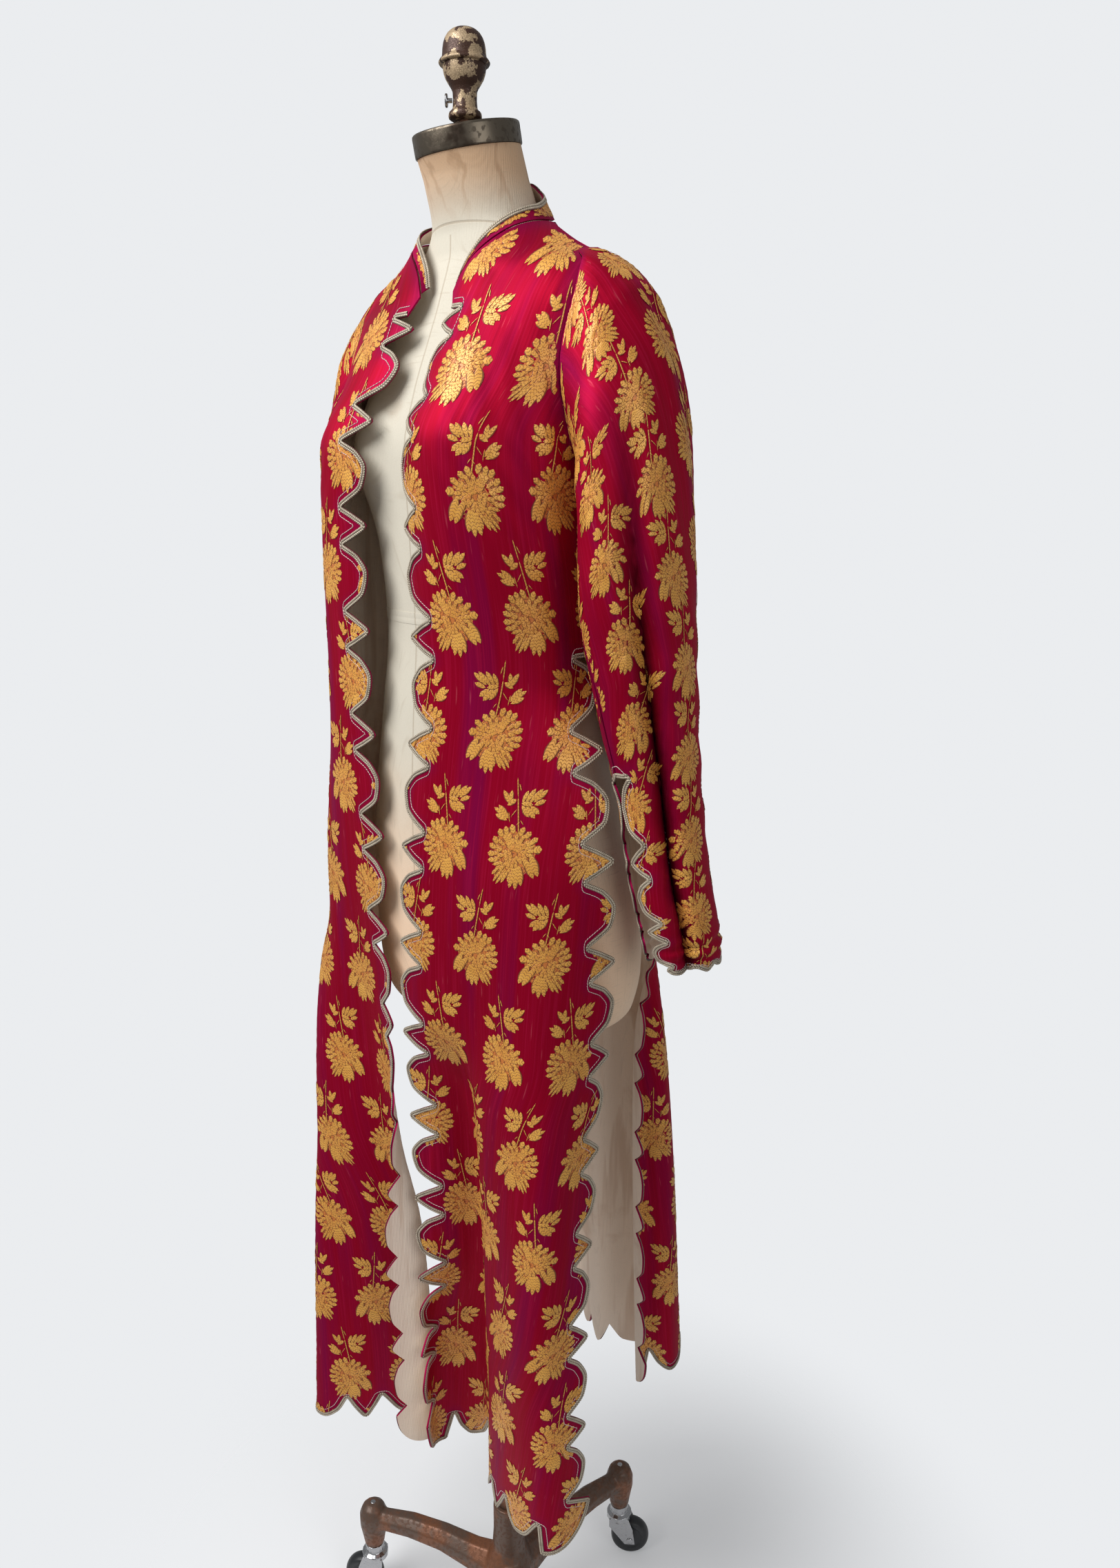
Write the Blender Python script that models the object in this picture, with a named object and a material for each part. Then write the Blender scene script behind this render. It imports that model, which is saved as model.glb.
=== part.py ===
"""A long scalloped silk coat worn open on a limbless dress form that stands on a three-legged iron base.

Metres, +Z up, the wearer faces -Y and the wearer's left is +X. The floor is z = 0.
Each cloth panel is drawn flat, as (run, height): run is the distance along the cloth from its first
edge, and height is above the floor. Its section table says where the cloth lies in plan at each height.
"""

import functools
import math

import bmesh
import bpy
import numpy as np
from mathutils import Vector
from mathutils.geometry import delaunay_2d_cdt

# Driving sizes of the coat
CLOTH = 0.002
SEAM_GAP = 0.0003
SHOULDER_TIP_Z = 1.616
NECK_POINT_Z = 1.648
BACK_NECK_Z = 1.662
NECK_NOTCH_Z = 1.568
NECK_NOTCH_INSET = 0.012
NECK_CORNER_TURN = 0.13
UNDERARM_Z = 1.430
SLIT_TOP_Z = 1.262
HEM_Z = 0.308
ARMHOLE_DEPTH = 0.056
COLLAR_HEIGHT = 0.036
COLLAR_END_HEIGHT = 0.012
COLLAR_STEPS = 27

# Scalloped edge: a broad lobe and a narrow one by turns. Rises are the share of a notch's depth
# that the edge has climbed at each share of a lobe's length.
BROAD_LOBE = 0.064
NARROW_LOBE = 0.036
NOTCH_DEPTH = 0.030
LOW_NOTCHES = (0.84, 1.00)
BROAD_RISES = ((0.0, 0.0), (0.17, 0.66), (0.42, 1.0), (0.70, 0.86))
NARROW_RISES = ((0.0, 0.0), (0.50, 1.0))
FOOT_LOBE = 0.058
TAIL = 0.006
BRAID_WIDTH = 0.005
BRAID_RISE = 0.0022

# Dress form and stand
POST_R = 0.0125
POST_FOOT_Z = 0.060
FORM_BOTTOM_Z = 0.872
NECK_TOP_Z = 1.7127
NECK_CENTRE_Y = -0.0276
CAP_TILT = math.radians(12)
CAP_HEIGHT = 0.0195
LEG_REACH = 0.190
LEG_ANGLES = (85.5, 205.8, 325.6)
SOCKET_TOP_Z = 0.200
KNOB_FOOT_Z = 0.075
WHEEL_R = 0.0255
WHEEL_WIDTH = 0.019
CASTER_HEADINGS = (40.0, 215.0, 330.0)
CASTER_TRAIL = 0.015

# The whole part is moved this far, so that the origin is under the middle of its box
CENTRE_SHIFT = (0.0, -0.0528, 0.0)

# Plan position (x, y) of the cloth at each height, from the front edge round to the side.
# Columns: height, edge, turn, valley, crest, hip, side
LEFT_FRONT = (
    (0.28, (-0.024, -0.100), (-0.047, -0.070), (-0.018, -0.024), (0.066, -0.081), (0.158, -0.083), (0.173, -0.046)),
    (0.45, (-0.032, -0.104), (-0.042, -0.082), (-0.004, -0.036), (0.066, -0.082), (0.155, -0.084), (0.169, -0.042)),
    (0.60, (-0.031, -0.104), (-0.012, -0.088), (0.018, -0.052), (0.067, -0.085), (0.152, -0.085), (0.166, -0.033)),
    (0.80, (-0.024, -0.113), (0.002, -0.104), (0.034, -0.080), (0.069, -0.096), (0.149, -0.085), (0.163, -0.014)),
    (0.90, (-0.015, -0.124), (0.012, -0.124), (0.042, -0.118), (0.071, -0.106), (0.147, -0.084), (0.171, -0.008)),
    (1.05, (-0.001, -0.130), (0.026, -0.130), (0.048, -0.125), (0.074, -0.119), (0.149, -0.080), (0.182, -0.018)),
    (1.16, (0.010, -0.127), (0.037, -0.127), (0.060, -0.121), (0.086, -0.110), (0.140, -0.071), (0.170, -0.020)),
    (1.24, (0.018, -0.124), (0.045, -0.124), (0.070, -0.118), (0.095, -0.104), (0.126, -0.066), (0.138, 0.000)),
    (1.45, (0.022, -0.131), (0.050, -0.143), (0.082, -0.143), (0.112, -0.122), (0.140, -0.072), (0.149, 0.000)),
    (1.52, (0.0335, -0.106), (0.058, -0.116), (0.084, -0.115), (0.111, -0.096), (0.141, -0.062), (0.156, 0.000)),
    (1.57, (0.0325, -0.084), (0.055, -0.089), (0.080, -0.086), (0.109, -0.074), (0.144, -0.050), (0.172, 0.002)),
    (1.60, (0.0345, -0.073), (0.053, -0.074), (0.074, -0.069), (0.100, -0.058), (0.131, -0.041), (0.166, 0.003)),
    (1.622, (0.036, -0.066), (0.050, -0.062), (0.064, -0.054), (0.080, -0.043), (0.097, -0.027), (0.117, 0.004)),
    (1.65, (0.035, -0.058), (0.044, -0.051), (0.052, -0.043), (0.060, -0.031), (0.067, -0.015), (0.0705, 0.006)),
)
# Columns: height, edge, lip, turn, valley, middle, flare, side
RIGHT_FRONT = (
    (0.28, (-0.068, -0.112), (-0.066, -0.064), (-0.079, -0.051), (-0.110, -0.068),
     (-0.146, -0.122), (-0.186, -0.148), (-0.212, -0.064)),
    (0.45, (-0.062, -0.120), (-0.053, -0.074), (-0.066, -0.063), (-0.094, -0.077),
     (-0.140, -0.122), (-0.181, -0.142), (-0.204, -0.056)),
    (0.60, (-0.058, -0.127), (-0.049, -0.087), (-0.061, -0.078), (-0.087, -0.087),
     (-0.135, -0.120), (-0.176, -0.137), (-0.196, -0.048)),
    (0.72, (-0.046, -0.122), (-0.050, -0.107), (-0.064, -0.100), (-0.090, -0.101),
     (-0.133, -0.121), (-0.172, -0.133), (-0.192, -0.040)),
    (0.82, (-0.037, -0.122), (-0.053, -0.116), (-0.071, -0.112), (-0.099, -0.111),
     (-0.134, -0.121), (-0.170, -0.128), (-0.189, -0.030)),
    (0.90, (-0.034, -0.124), (-0.054, -0.121), (-0.074, -0.118), (-0.102, -0.118),
     (-0.137, -0.122), (-0.171, -0.117), (-0.184, -0.018)),
    (1.05, (-0.033, -0.127), (-0.056, -0.129), (-0.086, -0.129), (-0.118, -0.126),
     (-0.151, -0.114), (-0.171, -0.070), (-0.172, 0.004)),
    (1.24, (-0.043, -0.128), (-0.062, -0.131), (-0.090, -0.131), (-0.120, -0.124),
     (-0.140, -0.101), (-0.147, -0.057), (-0.138, 0.000)),
    (1.45, (-0.034, -0.131), (-0.054, -0.137), (-0.080, -0.139), (-0.107, -0.130),
     (-0.130, -0.106), (-0.147, -0.060), (-0.149, 0.000)),
    (1.52, (-0.014, -0.106), (-0.032, -0.112), (-0.056, -0.113), (-0.084, -0.107),
     (-0.114, -0.089), (-0.144, -0.053), (-0.156, 0.000)),
    (1.57, (-0.008, -0.085), (-0.024, -0.089), (-0.046, -0.089), (-0.076, -0.083),
     (-0.110, -0.071), (-0.147, -0.046), (-0.172, 0.002)),
    (1.60, (-0.012, -0.075), (-0.026, -0.0755), (-0.044, -0.074), (-0.069, -0.068),
     (-0.098, -0.058), (-0.132, -0.039), (-0.166, 0.003)),
    (1.622, (-0.020, -0.066), (-0.032, -0.065), (-0.046, -0.062), (-0.062, -0.055),
     (-0.079, -0.043), (-0.098, -0.026), (-0.117, 0.004)),
    (1.65, (-0.032, -0.059), (-0.039, -0.055), (-0.046, -0.050), (-0.053, -0.042),
     (-0.060, -0.031), (-0.067, -0.015), (-0.0705, 0.006)),
)
# Columns: height, left side, lip, turn, flank, left fold, left blade, then centre, right blade,
# right fold, right flank, right side
BACK = (
    (0.28, (0.080, 0.160), (0.056, 0.174), (0.050, 0.186), (0.076, 0.220), (0.058, 0.254), (0.012, 0.230),
     (-0.026, 0.190), (-0.066, 0.212), (-0.122, 0.242), (-0.170, 0.196), (-0.186, 0.138)),
    (0.60, (0.086, 0.142), (0.062, 0.156), (0.056, 0.168), (0.078, 0.198), (0.062, 0.224), (0.014, 0.204),
     (-0.018, 0.172), (-0.058, 0.190), (-0.110, 0.210), (-0.156, 0.166), (-0.172, 0.108)),
    (0.80, (0.094, 0.131), (0.073, 0.141), (0.068, 0.152), (0.081, 0.172), (0.066, 0.194), (0.023, 0.182),
     (-0.010, 0.160), (-0.052, 0.172), (-0.100, 0.180), (-0.146, 0.142), (-0.166, 0.082)),
    (0.93, (0.116, 0.124), (0.104, 0.132), (0.096, 0.141), (0.084, 0.154), (0.066, 0.163), (0.034, 0.164),
     (-0.002, 0.154), (-0.048, 0.164), (-0.096, 0.160), (-0.142, 0.122), (-0.170, 0.056)),
    (1.05, (0.140, 0.082), (0.130, 0.098), (0.118, 0.112), (0.102, 0.126), (0.080, 0.138), (0.046, 0.148),
     (0.000, 0.152), (-0.050, 0.148), (-0.098, 0.132), (-0.142, 0.088), (-0.170, 0.028)),
    (1.24, (0.138, 0.001), (0.137, 0.026), (0.131, 0.050), (0.118, 0.074), (0.096, 0.094), (0.056, 0.116),
     (0.000, 0.124), (-0.062, 0.116), (-0.108, 0.086), (-0.132, 0.046), (-0.138, 0.001)),
    (1.45, (0.149, 0.001), (0.149, 0.028), (0.143, 0.056), (0.129, 0.082), (0.106, 0.104), (0.064, 0.124),
     (0.000, 0.130), (-0.070, 0.124), (-0.122, 0.094), (-0.146, 0.050), (-0.149, 0.001)),
    (1.52, (0.156, 0.001), (0.153, 0.028), (0.145, 0.056), (0.130, 0.080), (0.106, 0.101), (0.064, 0.121),
     (0.000, 0.128), (-0.072, 0.120), (-0.124, 0.090), (-0.148, 0.048), (-0.156, 0.001)),
    (1.57, (0.172, 0.003), (0.165, 0.027), (0.151, 0.051), (0.130, 0.071), (0.102, 0.088), (0.060, 0.105),
     (0.000, 0.114), (-0.070, 0.104), (-0.124, 0.078), (-0.158, 0.042), (-0.172, 0.003)),
    (1.60, (0.166, 0.004), (0.156, 0.022), (0.140, 0.040), (0.119, 0.056), (0.092, 0.071), (0.054, 0.085),
     (0.000, 0.094), (-0.065, 0.083), (-0.116, 0.060), (-0.148, 0.033), (-0.166, 0.004)),
    (1.622, (0.117, 0.005), (0.111, 0.015), (0.100, 0.028), (0.085, 0.041), (0.066, 0.054), (0.038, 0.067),
     (0.000, 0.075), (-0.045, 0.064), (-0.080, 0.045), (-0.104, 0.024), (-0.117, 0.005)),
    (1.65, (0.0705, 0.007), (0.0675, 0.015), (0.060, 0.024), (0.051, 0.033), (0.040, 0.042), (0.023, 0.050),
     (0.000, 0.054), (-0.028, 0.048), (-0.049, 0.036), (-0.064, 0.020), (-0.0705, 0.007)),
    (1.68, (0.061, 0.004), (0.058, 0.011), (0.052, 0.018), (0.044, 0.026), (0.035, 0.034), (0.020, 0.041),
     (0.000, 0.044), (-0.024, 0.040), (-0.042, 0.030), (-0.055, 0.016), (-0.061, 0.004)),
)
BACK_CENTRE_COLUMN = 6
# The left sleeve's ovals from the shoulder to the wrist. The right sleeve is their mirror image.
# Columns: inner x, inner height, outer x, outer height, middle y, half depth, crease depth
SLEEVE = (
    (0.158, 1.394, 0.188, 1.580, 0.000, 0.062, 0.00),
    (0.157, 1.350, 0.213, 1.505, -0.002, 0.066, 0.06),
    (0.156, 1.290, 0.224, 1.390, -0.001, 0.066, 0.28),
    (0.160, 1.210, 0.229, 1.265, 0.009, 0.057, 0.48),
    (0.169, 1.120, 0.234, 1.140, 0.023, 0.045, 0.62),
    (0.177, 1.045, 0.241, 1.055, 0.031, 0.044, 0.66),
    (0.183, 0.995, 0.248, 1.000, 0.040, 0.042, 0.62),
    (0.184, 0.960, 0.246, 0.963, 0.048, 0.040, 0.50),
)
SLEEVE_PITCH = 0.085
SLEEVE_GIRTH = 0.290
SLEEVE_SLIT_ROW = 3.7
SLEEVE_COLUMNS = (0.05, 0.11, 0.150, 0.186, 0.222, 0.29, 0.38, 0.47, 0.57, 0.67, 0.77, 0.86, 0.94)
SLEEVE_SLIT_PARTING = 0.05
SLEEVE_SEAM_TURN = math.radians(75)
SLEEVE_SLIT_GAP = 0.0012
SLEEVE_CROWN = 0.006
CREASE_ANGLE = math.radians(-38)
CREASE_SPREAD = 0.19

# The dress form's rings. Columns: height, half width, front y, back y
FORM = (
    (0.872, 0.118, -0.078, 0.088),
    (0.877, 0.142, -0.094, 0.108),
    (0.890, 0.156, -0.104, 0.120),
    (0.930, 0.163, -0.111, 0.128),
    (1.000, 0.164, -0.115, 0.130),
    (1.100, 0.148, -0.116, 0.118),
    (1.200, 0.126, -0.111, 0.100),
    (1.278, 0.115, -0.105, 0.088),
    (1.360, 0.122, -0.109, 0.097),
    (1.447, 0.138, -0.112, 0.104),
    (1.500, 0.147, -0.099, 0.104),
    (1.546, 0.157, -0.081, 0.096),
    (1.573, 0.158, -0.070, 0.084),
    (1.595, 0.147, -0.062, 0.073),
    (1.610, 0.118, -0.0565, 0.062),
    (1.625, 0.088, -0.0525, 0.053),
    (1.6405, 0.0675, -0.052, 0.045),
    (1.655, 0.056, -0.055, 0.0405),
    (1.680, 0.0510, -0.064, 0.033),
    (1.700, 0.0485, -0.071, 0.0245),
    (1.7127, 0.0475, -0.075, 0.0198),
)
FORM_RING_HEIGHTS = (
    0.872, 0.8745, 0.882, 0.900, 0.935, 0.985, 1.040, 1.095, 1.150, 1.210, 1.278, 1.335, 1.385, 1.420,
    1.447, 1.475, 1.505, 1.535, 1.560, 1.579, 1.593, 1.603, 1.614, 1.626, 1.641, 1.658, 1.683,
)
FORM_SIDES = 24
BUST_APEX_X = 0.078
BUST_Z = 1.447
BUST_RISE = 0.024
BUST_SPREAD = 0.040
BUST_TALL = 0.055

SILK = ("crimson_brocade", (0.42, 0.012, 0.045), 0.35, 0.0)
SILVER = ("silver_braid", (0.36, 0.34, 0.28), 0.55, 0.3)
LINEN = ("form_linen", (0.60, 0.50, 0.37), 0.85, 0.0)
PEWTER = ("pewter", (0.20, 0.20, 0.19), 0.38, 1.0)
PAINTED_BRASS = ("mottled_brass", (0.42, 0.33, 0.20), 0.42, 0.6)
IRON = ("brown_iron", (0.17, 0.10, 0.07), 0.5, 0.6)
STEEL = ("bright_steel", (0.45, 0.45, 0.46), 0.3, 1.0)
RUBBER = ("black_rubber", (0.02, 0.02, 0.022), 0.6, 0.0)


# Curves and surfaces

def slopes(knots, values):
    """Slopes at a table's rows that never carry the curve past its own rows."""
    secants = np.diff(values, axis=0) / np.diff(knots)[:, None]
    found = np.zeros_like(values)
    found[0], found[-1] = secants[0], secants[-1]
    before, after = secants[:-1], secants[1:]
    same = before * after > 0
    total = np.where(same, before + after, 1.0)
    found[1:-1] = np.where(same, 2 * before * after / total, 0.0)
    return found


def smooth(knots, values, at):
    """A smooth value through a table's rows, kept level past its ends."""
    knots = np.asarray(knots, float)
    values = np.asarray(values, float)
    at = min(max(at, knots[0]), knots[-1])
    i = min(max(int(np.searchsorted(knots, at)) - 1, 0), len(knots) - 2)
    rise = slopes(knots, values)
    step = knots[i + 1] - knots[i]
    t = (at - knots[i]) / step
    near = values[i] * (2 * t**3 - 3 * t**2 + 1) + rise[i] * step * (t**3 - 2 * t**2 + t)
    far = values[i + 1] * (3 * t**2 - 2 * t**3) + rise[i + 1] * step * (t**3 - t**2)
    return near + far


STEPS_PER_COLUMN = 8
FOLD_COLUMNS = 4


def rounded_line(points):
    """A rounded curve in plan through a row's places, with a fixed number of steps between them."""
    marks = np.concatenate([[0.0], np.cumsum(np.linalg.norm(np.diff(points, axis=0), axis=1))])
    headings = np.gradient(points, marks, axis=0)
    line = []
    for i in range(len(points) - 1):
        step = marks[i + 1] - marks[i]
        for t in np.arange(STEPS_PER_COLUMN) / STEPS_PER_COLUMN:
            near = points[i] * (2 * t**3 - 3 * t**2 + 1) + headings[i] * step * (t**3 - 2 * t**2 + t)
            far = points[i + 1] * (3 * t**2 - 2 * t**3) + headings[i + 1] * step * (t**3 - t**2)
            line.append(near + far)
    return np.array([*line, points[-1]])


class Panel:
    """A cloth panel's lie: its section table, and the column that is the straight line of the flat pattern.

    The depths are the share of a notch's depth that is left on the lower part of the edge.
    """

    def __init__(self, table, straight_column, outward, front_depth=1.0, slit_depth=1.0):
        self.heights = [row[0] for row in table]
        self.columns = np.array([row[1:] for row in table], float).reshape(len(table), -1)
        self.straight = straight_column * STEPS_PER_COLUMN
        self.outward = outward
        self.front_depth = front_depth
        self.slit_depth = slit_depth
        self.known = {}

    def section(self, z):
        """The cloth's line in plan at one height, and the run at each of its points."""
        z = round(z, 5)
        if z not in self.known:
            line = rounded_line(smooth(self.heights, self.columns, z).reshape(-1, 2))
            run = np.concatenate([[0.0], np.cumsum(np.linalg.norm(np.diff(line, axis=0), axis=1))])
            self.known[z] = line, run - run[self.straight]
        return self.known[z]

    def at_side(self, z, inset, far):
        """The run a little way in from the panel's first or far side."""
        runs = self.section(z)[1]
        return runs[-1] - inset if far else runs[0] + inset

    def across(self, z, share):
        """The run at a share of the panel's width."""
        runs = self.section(z)[1]
        return runs[0] + (runs[-1] - runs[0]) * share

    def place(self, run, z):
        """The point of the cloth at a distance along it and a height."""
        line, runs = self.section(z)
        if run < runs[0]:
            step = (line[1] - line[0]) / (runs[1] - runs[0])
            x, y = line[0] + step * (run - runs[0])
        elif run > runs[-1]:
            step = (line[-1] - line[-2]) / (runs[-1] - runs[-2])
            x, y = line[-1] + step * (run - runs[-1])
        else:
            x, y = (np.interp(run, runs, line[:, axis]) for axis in (0, 1))
        return np.array((x, y, z))


def facing(place, run, height, outward):
    """The cloth's outward direction at a point."""
    step = 0.003
    across = place(run + step, height) - place(run - step, height)
    up = place(run, height + step) - place(run, height - step)
    normal = np.cross(across, up) * outward
    return normal / np.linalg.norm(normal)


# Flat outlines

def scallops(start, end, depth=NOTCH_DEPTH, broad=BROAD_LOBE, narrow=NARROW_LOBE, narrow_first=False):
    """(along, inset) points of a scalloped edge that starts and ends in a notch."""
    length = abs(end - start)
    lone = 0 if narrow_first else broad
    pairs = max(1, round((length - lone) / (broad + narrow)))
    sizes = [narrow, broad] * pairs if narrow_first else [broad, narrow] * pairs + [broad]
    scale = (end - start) / sum(sizes)
    points = []
    at = start
    for size in sizes:
        for share, rise in (BROAD_RISES if size == broad else NARROW_RISES):
            points.append((at + size * scale * share, depth * (1 - rise)))
        at += size * scale
    points.append((end, depth))
    return points


def worn(z, depth):
    """The share of a notch's depth at a height: whole above the hip, and the panel's own share below it."""
    return smooth(LOW_NOTCHES, [[depth], [1.0]], z)[0]


def front_edge(start, end, depth):
    """The front edge's scallops, drawn closer together at the top, where the chest slopes back."""
    slope, fade = 0.045, 0.12
    span = start - end + slope
    points = []
    for along, inset in scallops(0.0, span, narrow_first=True):
        z = start - along + slope * (1 - math.exp(-along / fade))
        points.append((inset * worn(z, depth), max(z, end)))
    return points


def foot_lobe(corner_run, way):
    """The rounded lobe at a panel's lower corner, from the edge's last notch to the hem's first."""
    arc = []
    for turn in (0.2, 0.42, 0.64, 0.84):
        angle = turn * math.pi / 2
        run = corner_run + way * FOOT_LOBE * (1 - math.cos(angle) ** 0.75)
        height = HEM_Z - TAIL + (FOOT_LOBE + TAIL) * (1 - math.sin(angle) ** 0.75)
        arc.append((run, height))
    return arc if way > 0 else arc[::-1]


def armhole_line(panel, far):
    """A panel's armhole from the underarm up to the shoulder tip."""
    line = []
    for turn in np.linspace(0, math.pi, 10):
        z = UNDERARM_Z + (SHOULDER_TIP_Z - UNDERARM_Z) * (1 - math.cos(turn)) / 2
        bite = ARMHOLE_DEPTH * max(math.sin(turn), 0.0) ** 0.7
        line.append((panel.at_side(z, SEAM_GAP + bite, far), z))
    return line


def upper_side(panel, far):
    """A panel's side above the slit: the side seam, the armhole and the shoulder seam."""
    seam = [(panel.at_side(z, SEAM_GAP, far), z) for z in np.linspace(SLIT_TOP_Z, UNDERARM_Z, 5)[1:-1]]
    shoulder = [(panel.at_side(z, SEAM_GAP, far), z) for z in np.linspace(SHOULDER_TIP_Z, NECK_POINT_Z, 4)[1:]]
    return seam + armhole_line(panel, far) + shoulder


def slit_side(panel, far):
    """A slit's scalloped side, from its top down to the foot lobe."""
    side = []
    for z, inset in scallops(SLIT_TOP_Z, HEM_Z + FOOT_LOBE):
        side.append((panel.at_side(z, inset * worn(z, panel.slit_depth) + SEAM_GAP, far), z))
    side[0] = (panel.at_side(SLIT_TOP_Z, SEAM_GAP, far), SLIT_TOP_Z)
    return side


def lower_outline(panel, top):
    """The scalloped stretch of a panel: near side, foot lobes, hem and far slit."""
    near, far = panel.at_side(HEM_Z, 0, False), panel.at_side(HEM_Z, 0, True)
    hem = [(run, HEM_Z + inset) for run, inset in scallops(near + FOOT_LOBE, far - FOOT_LOBE)]
    return top + foot_lobe(near, 1) + hem + foot_lobe(far, -1) + slit_side(panel, True)[::-1]


def front_outline(panel):
    """The flat outline of a front, and how many points have braid and lie on the neckline."""
    trimmed = lower_outline(panel, front_edge(NECK_NOTCH_Z, HEM_Z + FOOT_LOBE, panel.front_depth))
    trimmed[0] = (NECK_NOTCH_INSET, NECK_NOTCH_Z)
    top_width = panel.at_side(NECK_POINT_Z, 0, True)
    drop = NECK_POINT_Z - NECK_NOTCH_Z
    neckline = []
    for turn in np.linspace(1, NECK_CORNER_TURN, 7)[1:]:
        angle = turn * math.pi / 2
        neckline.append((top_width * (1 - math.cos(angle)), NECK_NOTCH_Z + drop * math.sin(angle)))
    return trimmed + upper_side(panel, True) + neckline, len(trimmed), len(neckline)


def back_outline(panel):
    """The back's flat outline, from its left slit round by the hem, and how many points have braid."""
    trimmed = lower_outline(panel, slit_side(panel, False))
    top = []
    for share in np.linspace(1, 0, 9)[1:-1]:
        z = NECK_POINT_Z + (BACK_NECK_Z - NECK_POINT_Z) * math.sin(math.pi * share)
        top.append((panel.across(z, share), z))
    return trimmed + upper_side(panel, True) + top + upper_side(panel, False)[::-1], len(trimmed)


def inside(points, loop):
    """Which points lie in a closed loop."""
    x, y = points[:, 0], points[:, 1]
    found = np.zeros(len(points), bool)
    for (x0, y0), (x1, y1) in zip(loop, np.roll(loop, -1, axis=0)):
        if y0 == y1:
            continue
        crosses = (y0 > y) != (y1 > y)
        found ^= crosses & (x < (x1 - x0) * (y - y0) / (y1 - y0) + x0)
    return found


def clear_of(points, loop, gap):
    """Which points are further than gap from a closed loop."""
    clear = np.ones(len(points), bool)
    for a, b in zip(loop, np.roll(loop, -1, axis=0)):
        side = b - a
        t = np.clip(((points - a) @ side) / max(side @ side, 1e-12), 0, 1)
        clear &= np.linalg.norm(points - (a + t[:, None] * side), axis=1) > gap
    return clear


def fold_grid(panel, edge_notches, upper_rows):
    """Points along every column of a section table and halfway between, to carry the folds.

    There is a row at each notch of the first edge. Every second one stops past the fold by that edge.
    """
    points = []
    half = STEPS_PER_COLUMN // 2
    for n, z in enumerate(edge_notches):
        runs = panel.section(z)[1]
        end = -1 if n % 2 else FOLD_COLUMNS * STEPS_PER_COLUMN
        points += [(run, z) for run in runs[half:end:half]]
    for z in upper_rows:
        points += [(run, z) for run in panel.section(z)[1][half:-1:half]]
    return points


def notch_heights(edge):
    """The heights of the notches along an edge given as (inset, height)."""
    return [z for inset, z in edge if inset == NOTCH_DEPTH]


# Meshes

def material(name, colour, roughness, metallic):
    """One plain finish, made once."""
    made = bpy.data.materials.get(name)
    if made is None:
        made = bpy.data.materials.new(name)
        made.use_nodes = True
        shader = made.node_tree.nodes["Principled BSDF"]
        shader.inputs["Base Color"].default_value = (*colour, 1.0)
        shader.inputs["Roughness"].default_value = roughness
        shader.inputs["Metallic"].default_value = metallic
    return made


def make_object(name, points, faces, finish, smoothed=True):
    """A named mesh object, moved to the part's own origin, with its faces turned outwards."""
    mesh = bpy.data.meshes.new(name)
    mesh.from_pydata([tuple(np.add(p, CENTRE_SHIFT)) for p in points], [], faces)
    shape = bmesh.new()
    shape.from_mesh(mesh)
    bmesh.ops.recalc_face_normals(shape, faces=shape.faces)
    if shape.calc_volume(signed=True) < 0:
        bmesh.ops.reverse_faces(shape, faces=shape.faces)
    shape.to_mesh(mesh)
    shape.free()
    if smoothed:
        mesh.shade_smooth()
        mesh.set_sharp_from_angle(angle=math.radians(40))
    made = bpy.data.objects.new(name, mesh)
    made.data.materials.append(material(*finish))
    bpy.context.scene.collection.objects.link(made)
    return made


def loft_faces(rings, sides):
    """Triangles of a tube of equal rings, with both ends closed."""
    faces = []
    for i in range(rings - 1):
        for j in range(sides):
            k = (j + 1) % sides
            a, b, c, d = i * sides + j, i * sides + k, (i + 1) * sides + k, (i + 1) * sides + j
            faces += [(a, b, d), (b, c, d)]
    faces.append(tuple(range(sides)))
    faces.append(tuple((rings - 1) * sides + j for j in reversed(range(sides))))
    return faces


def loft(name, rings, finish, smoothed=True):
    points = [p for ring in rings for p in ring]
    return make_object(name, points, loft_faces(len(rings), len(rings[0])), finish, smoothed)


def ridged_strip(name, rings):
    """Braid through rings of edge, ridge and inner point, its underside split as the cloth below it is."""
    faces = [(0, 1, 2), (3 * len(rings) - 1, 3 * len(rings) - 2, 3 * len(rings) - 3)]
    for i in range(len(rings) - 1):
        edge, ridge, inward = 3 * i, 3 * i + 1, 3 * i + 2
        faces += [(edge, edge + 3, ridge + 3, ridge), (ridge, ridge + 3, inward + 3, inward)]
        faces += [(edge, inward + 3, edge + 3), (edge, inward, inward + 3)]
    make_object(name, [p for ring in rings for p in ring], faces, SILVER, smoothed=False)


def inner_row(loop):
    """The outline moved in by the width of the braid."""
    ahead = np.roll(loop, -1, axis=0) - loop
    behind = loop - np.roll(loop, 1, axis=0)
    ahead /= np.linalg.norm(ahead, axis=1)[:, None]
    behind /= np.linalg.norm(behind, axis=1)[:, None]
    travel = ahead + behind
    travel /= np.linalg.norm(travel, axis=1)[:, None]
    return loop + np.stack([-travel[:, 1], travel[:, 0]], axis=1) * BRAID_WIDTH


def cloth_wall(name, spots, normals, triangles, borders):
    """A closed wall of cloth, half its thickness on each side of a sheet of triangles."""
    outer = [p + n * CLOTH / 2 for p, n in zip(spots, normals)]
    lining = [p - n * CLOTH / 2 for p, n in zip(spots, normals)]
    size = len(spots)
    faces = triangles + [tuple(i + size for i in reversed(t)) for t in triangles]
    faces += [(j, i, i + size, j + size) for i, j in borders]
    make_object(name, outer + lining, faces, SILK)


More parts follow.
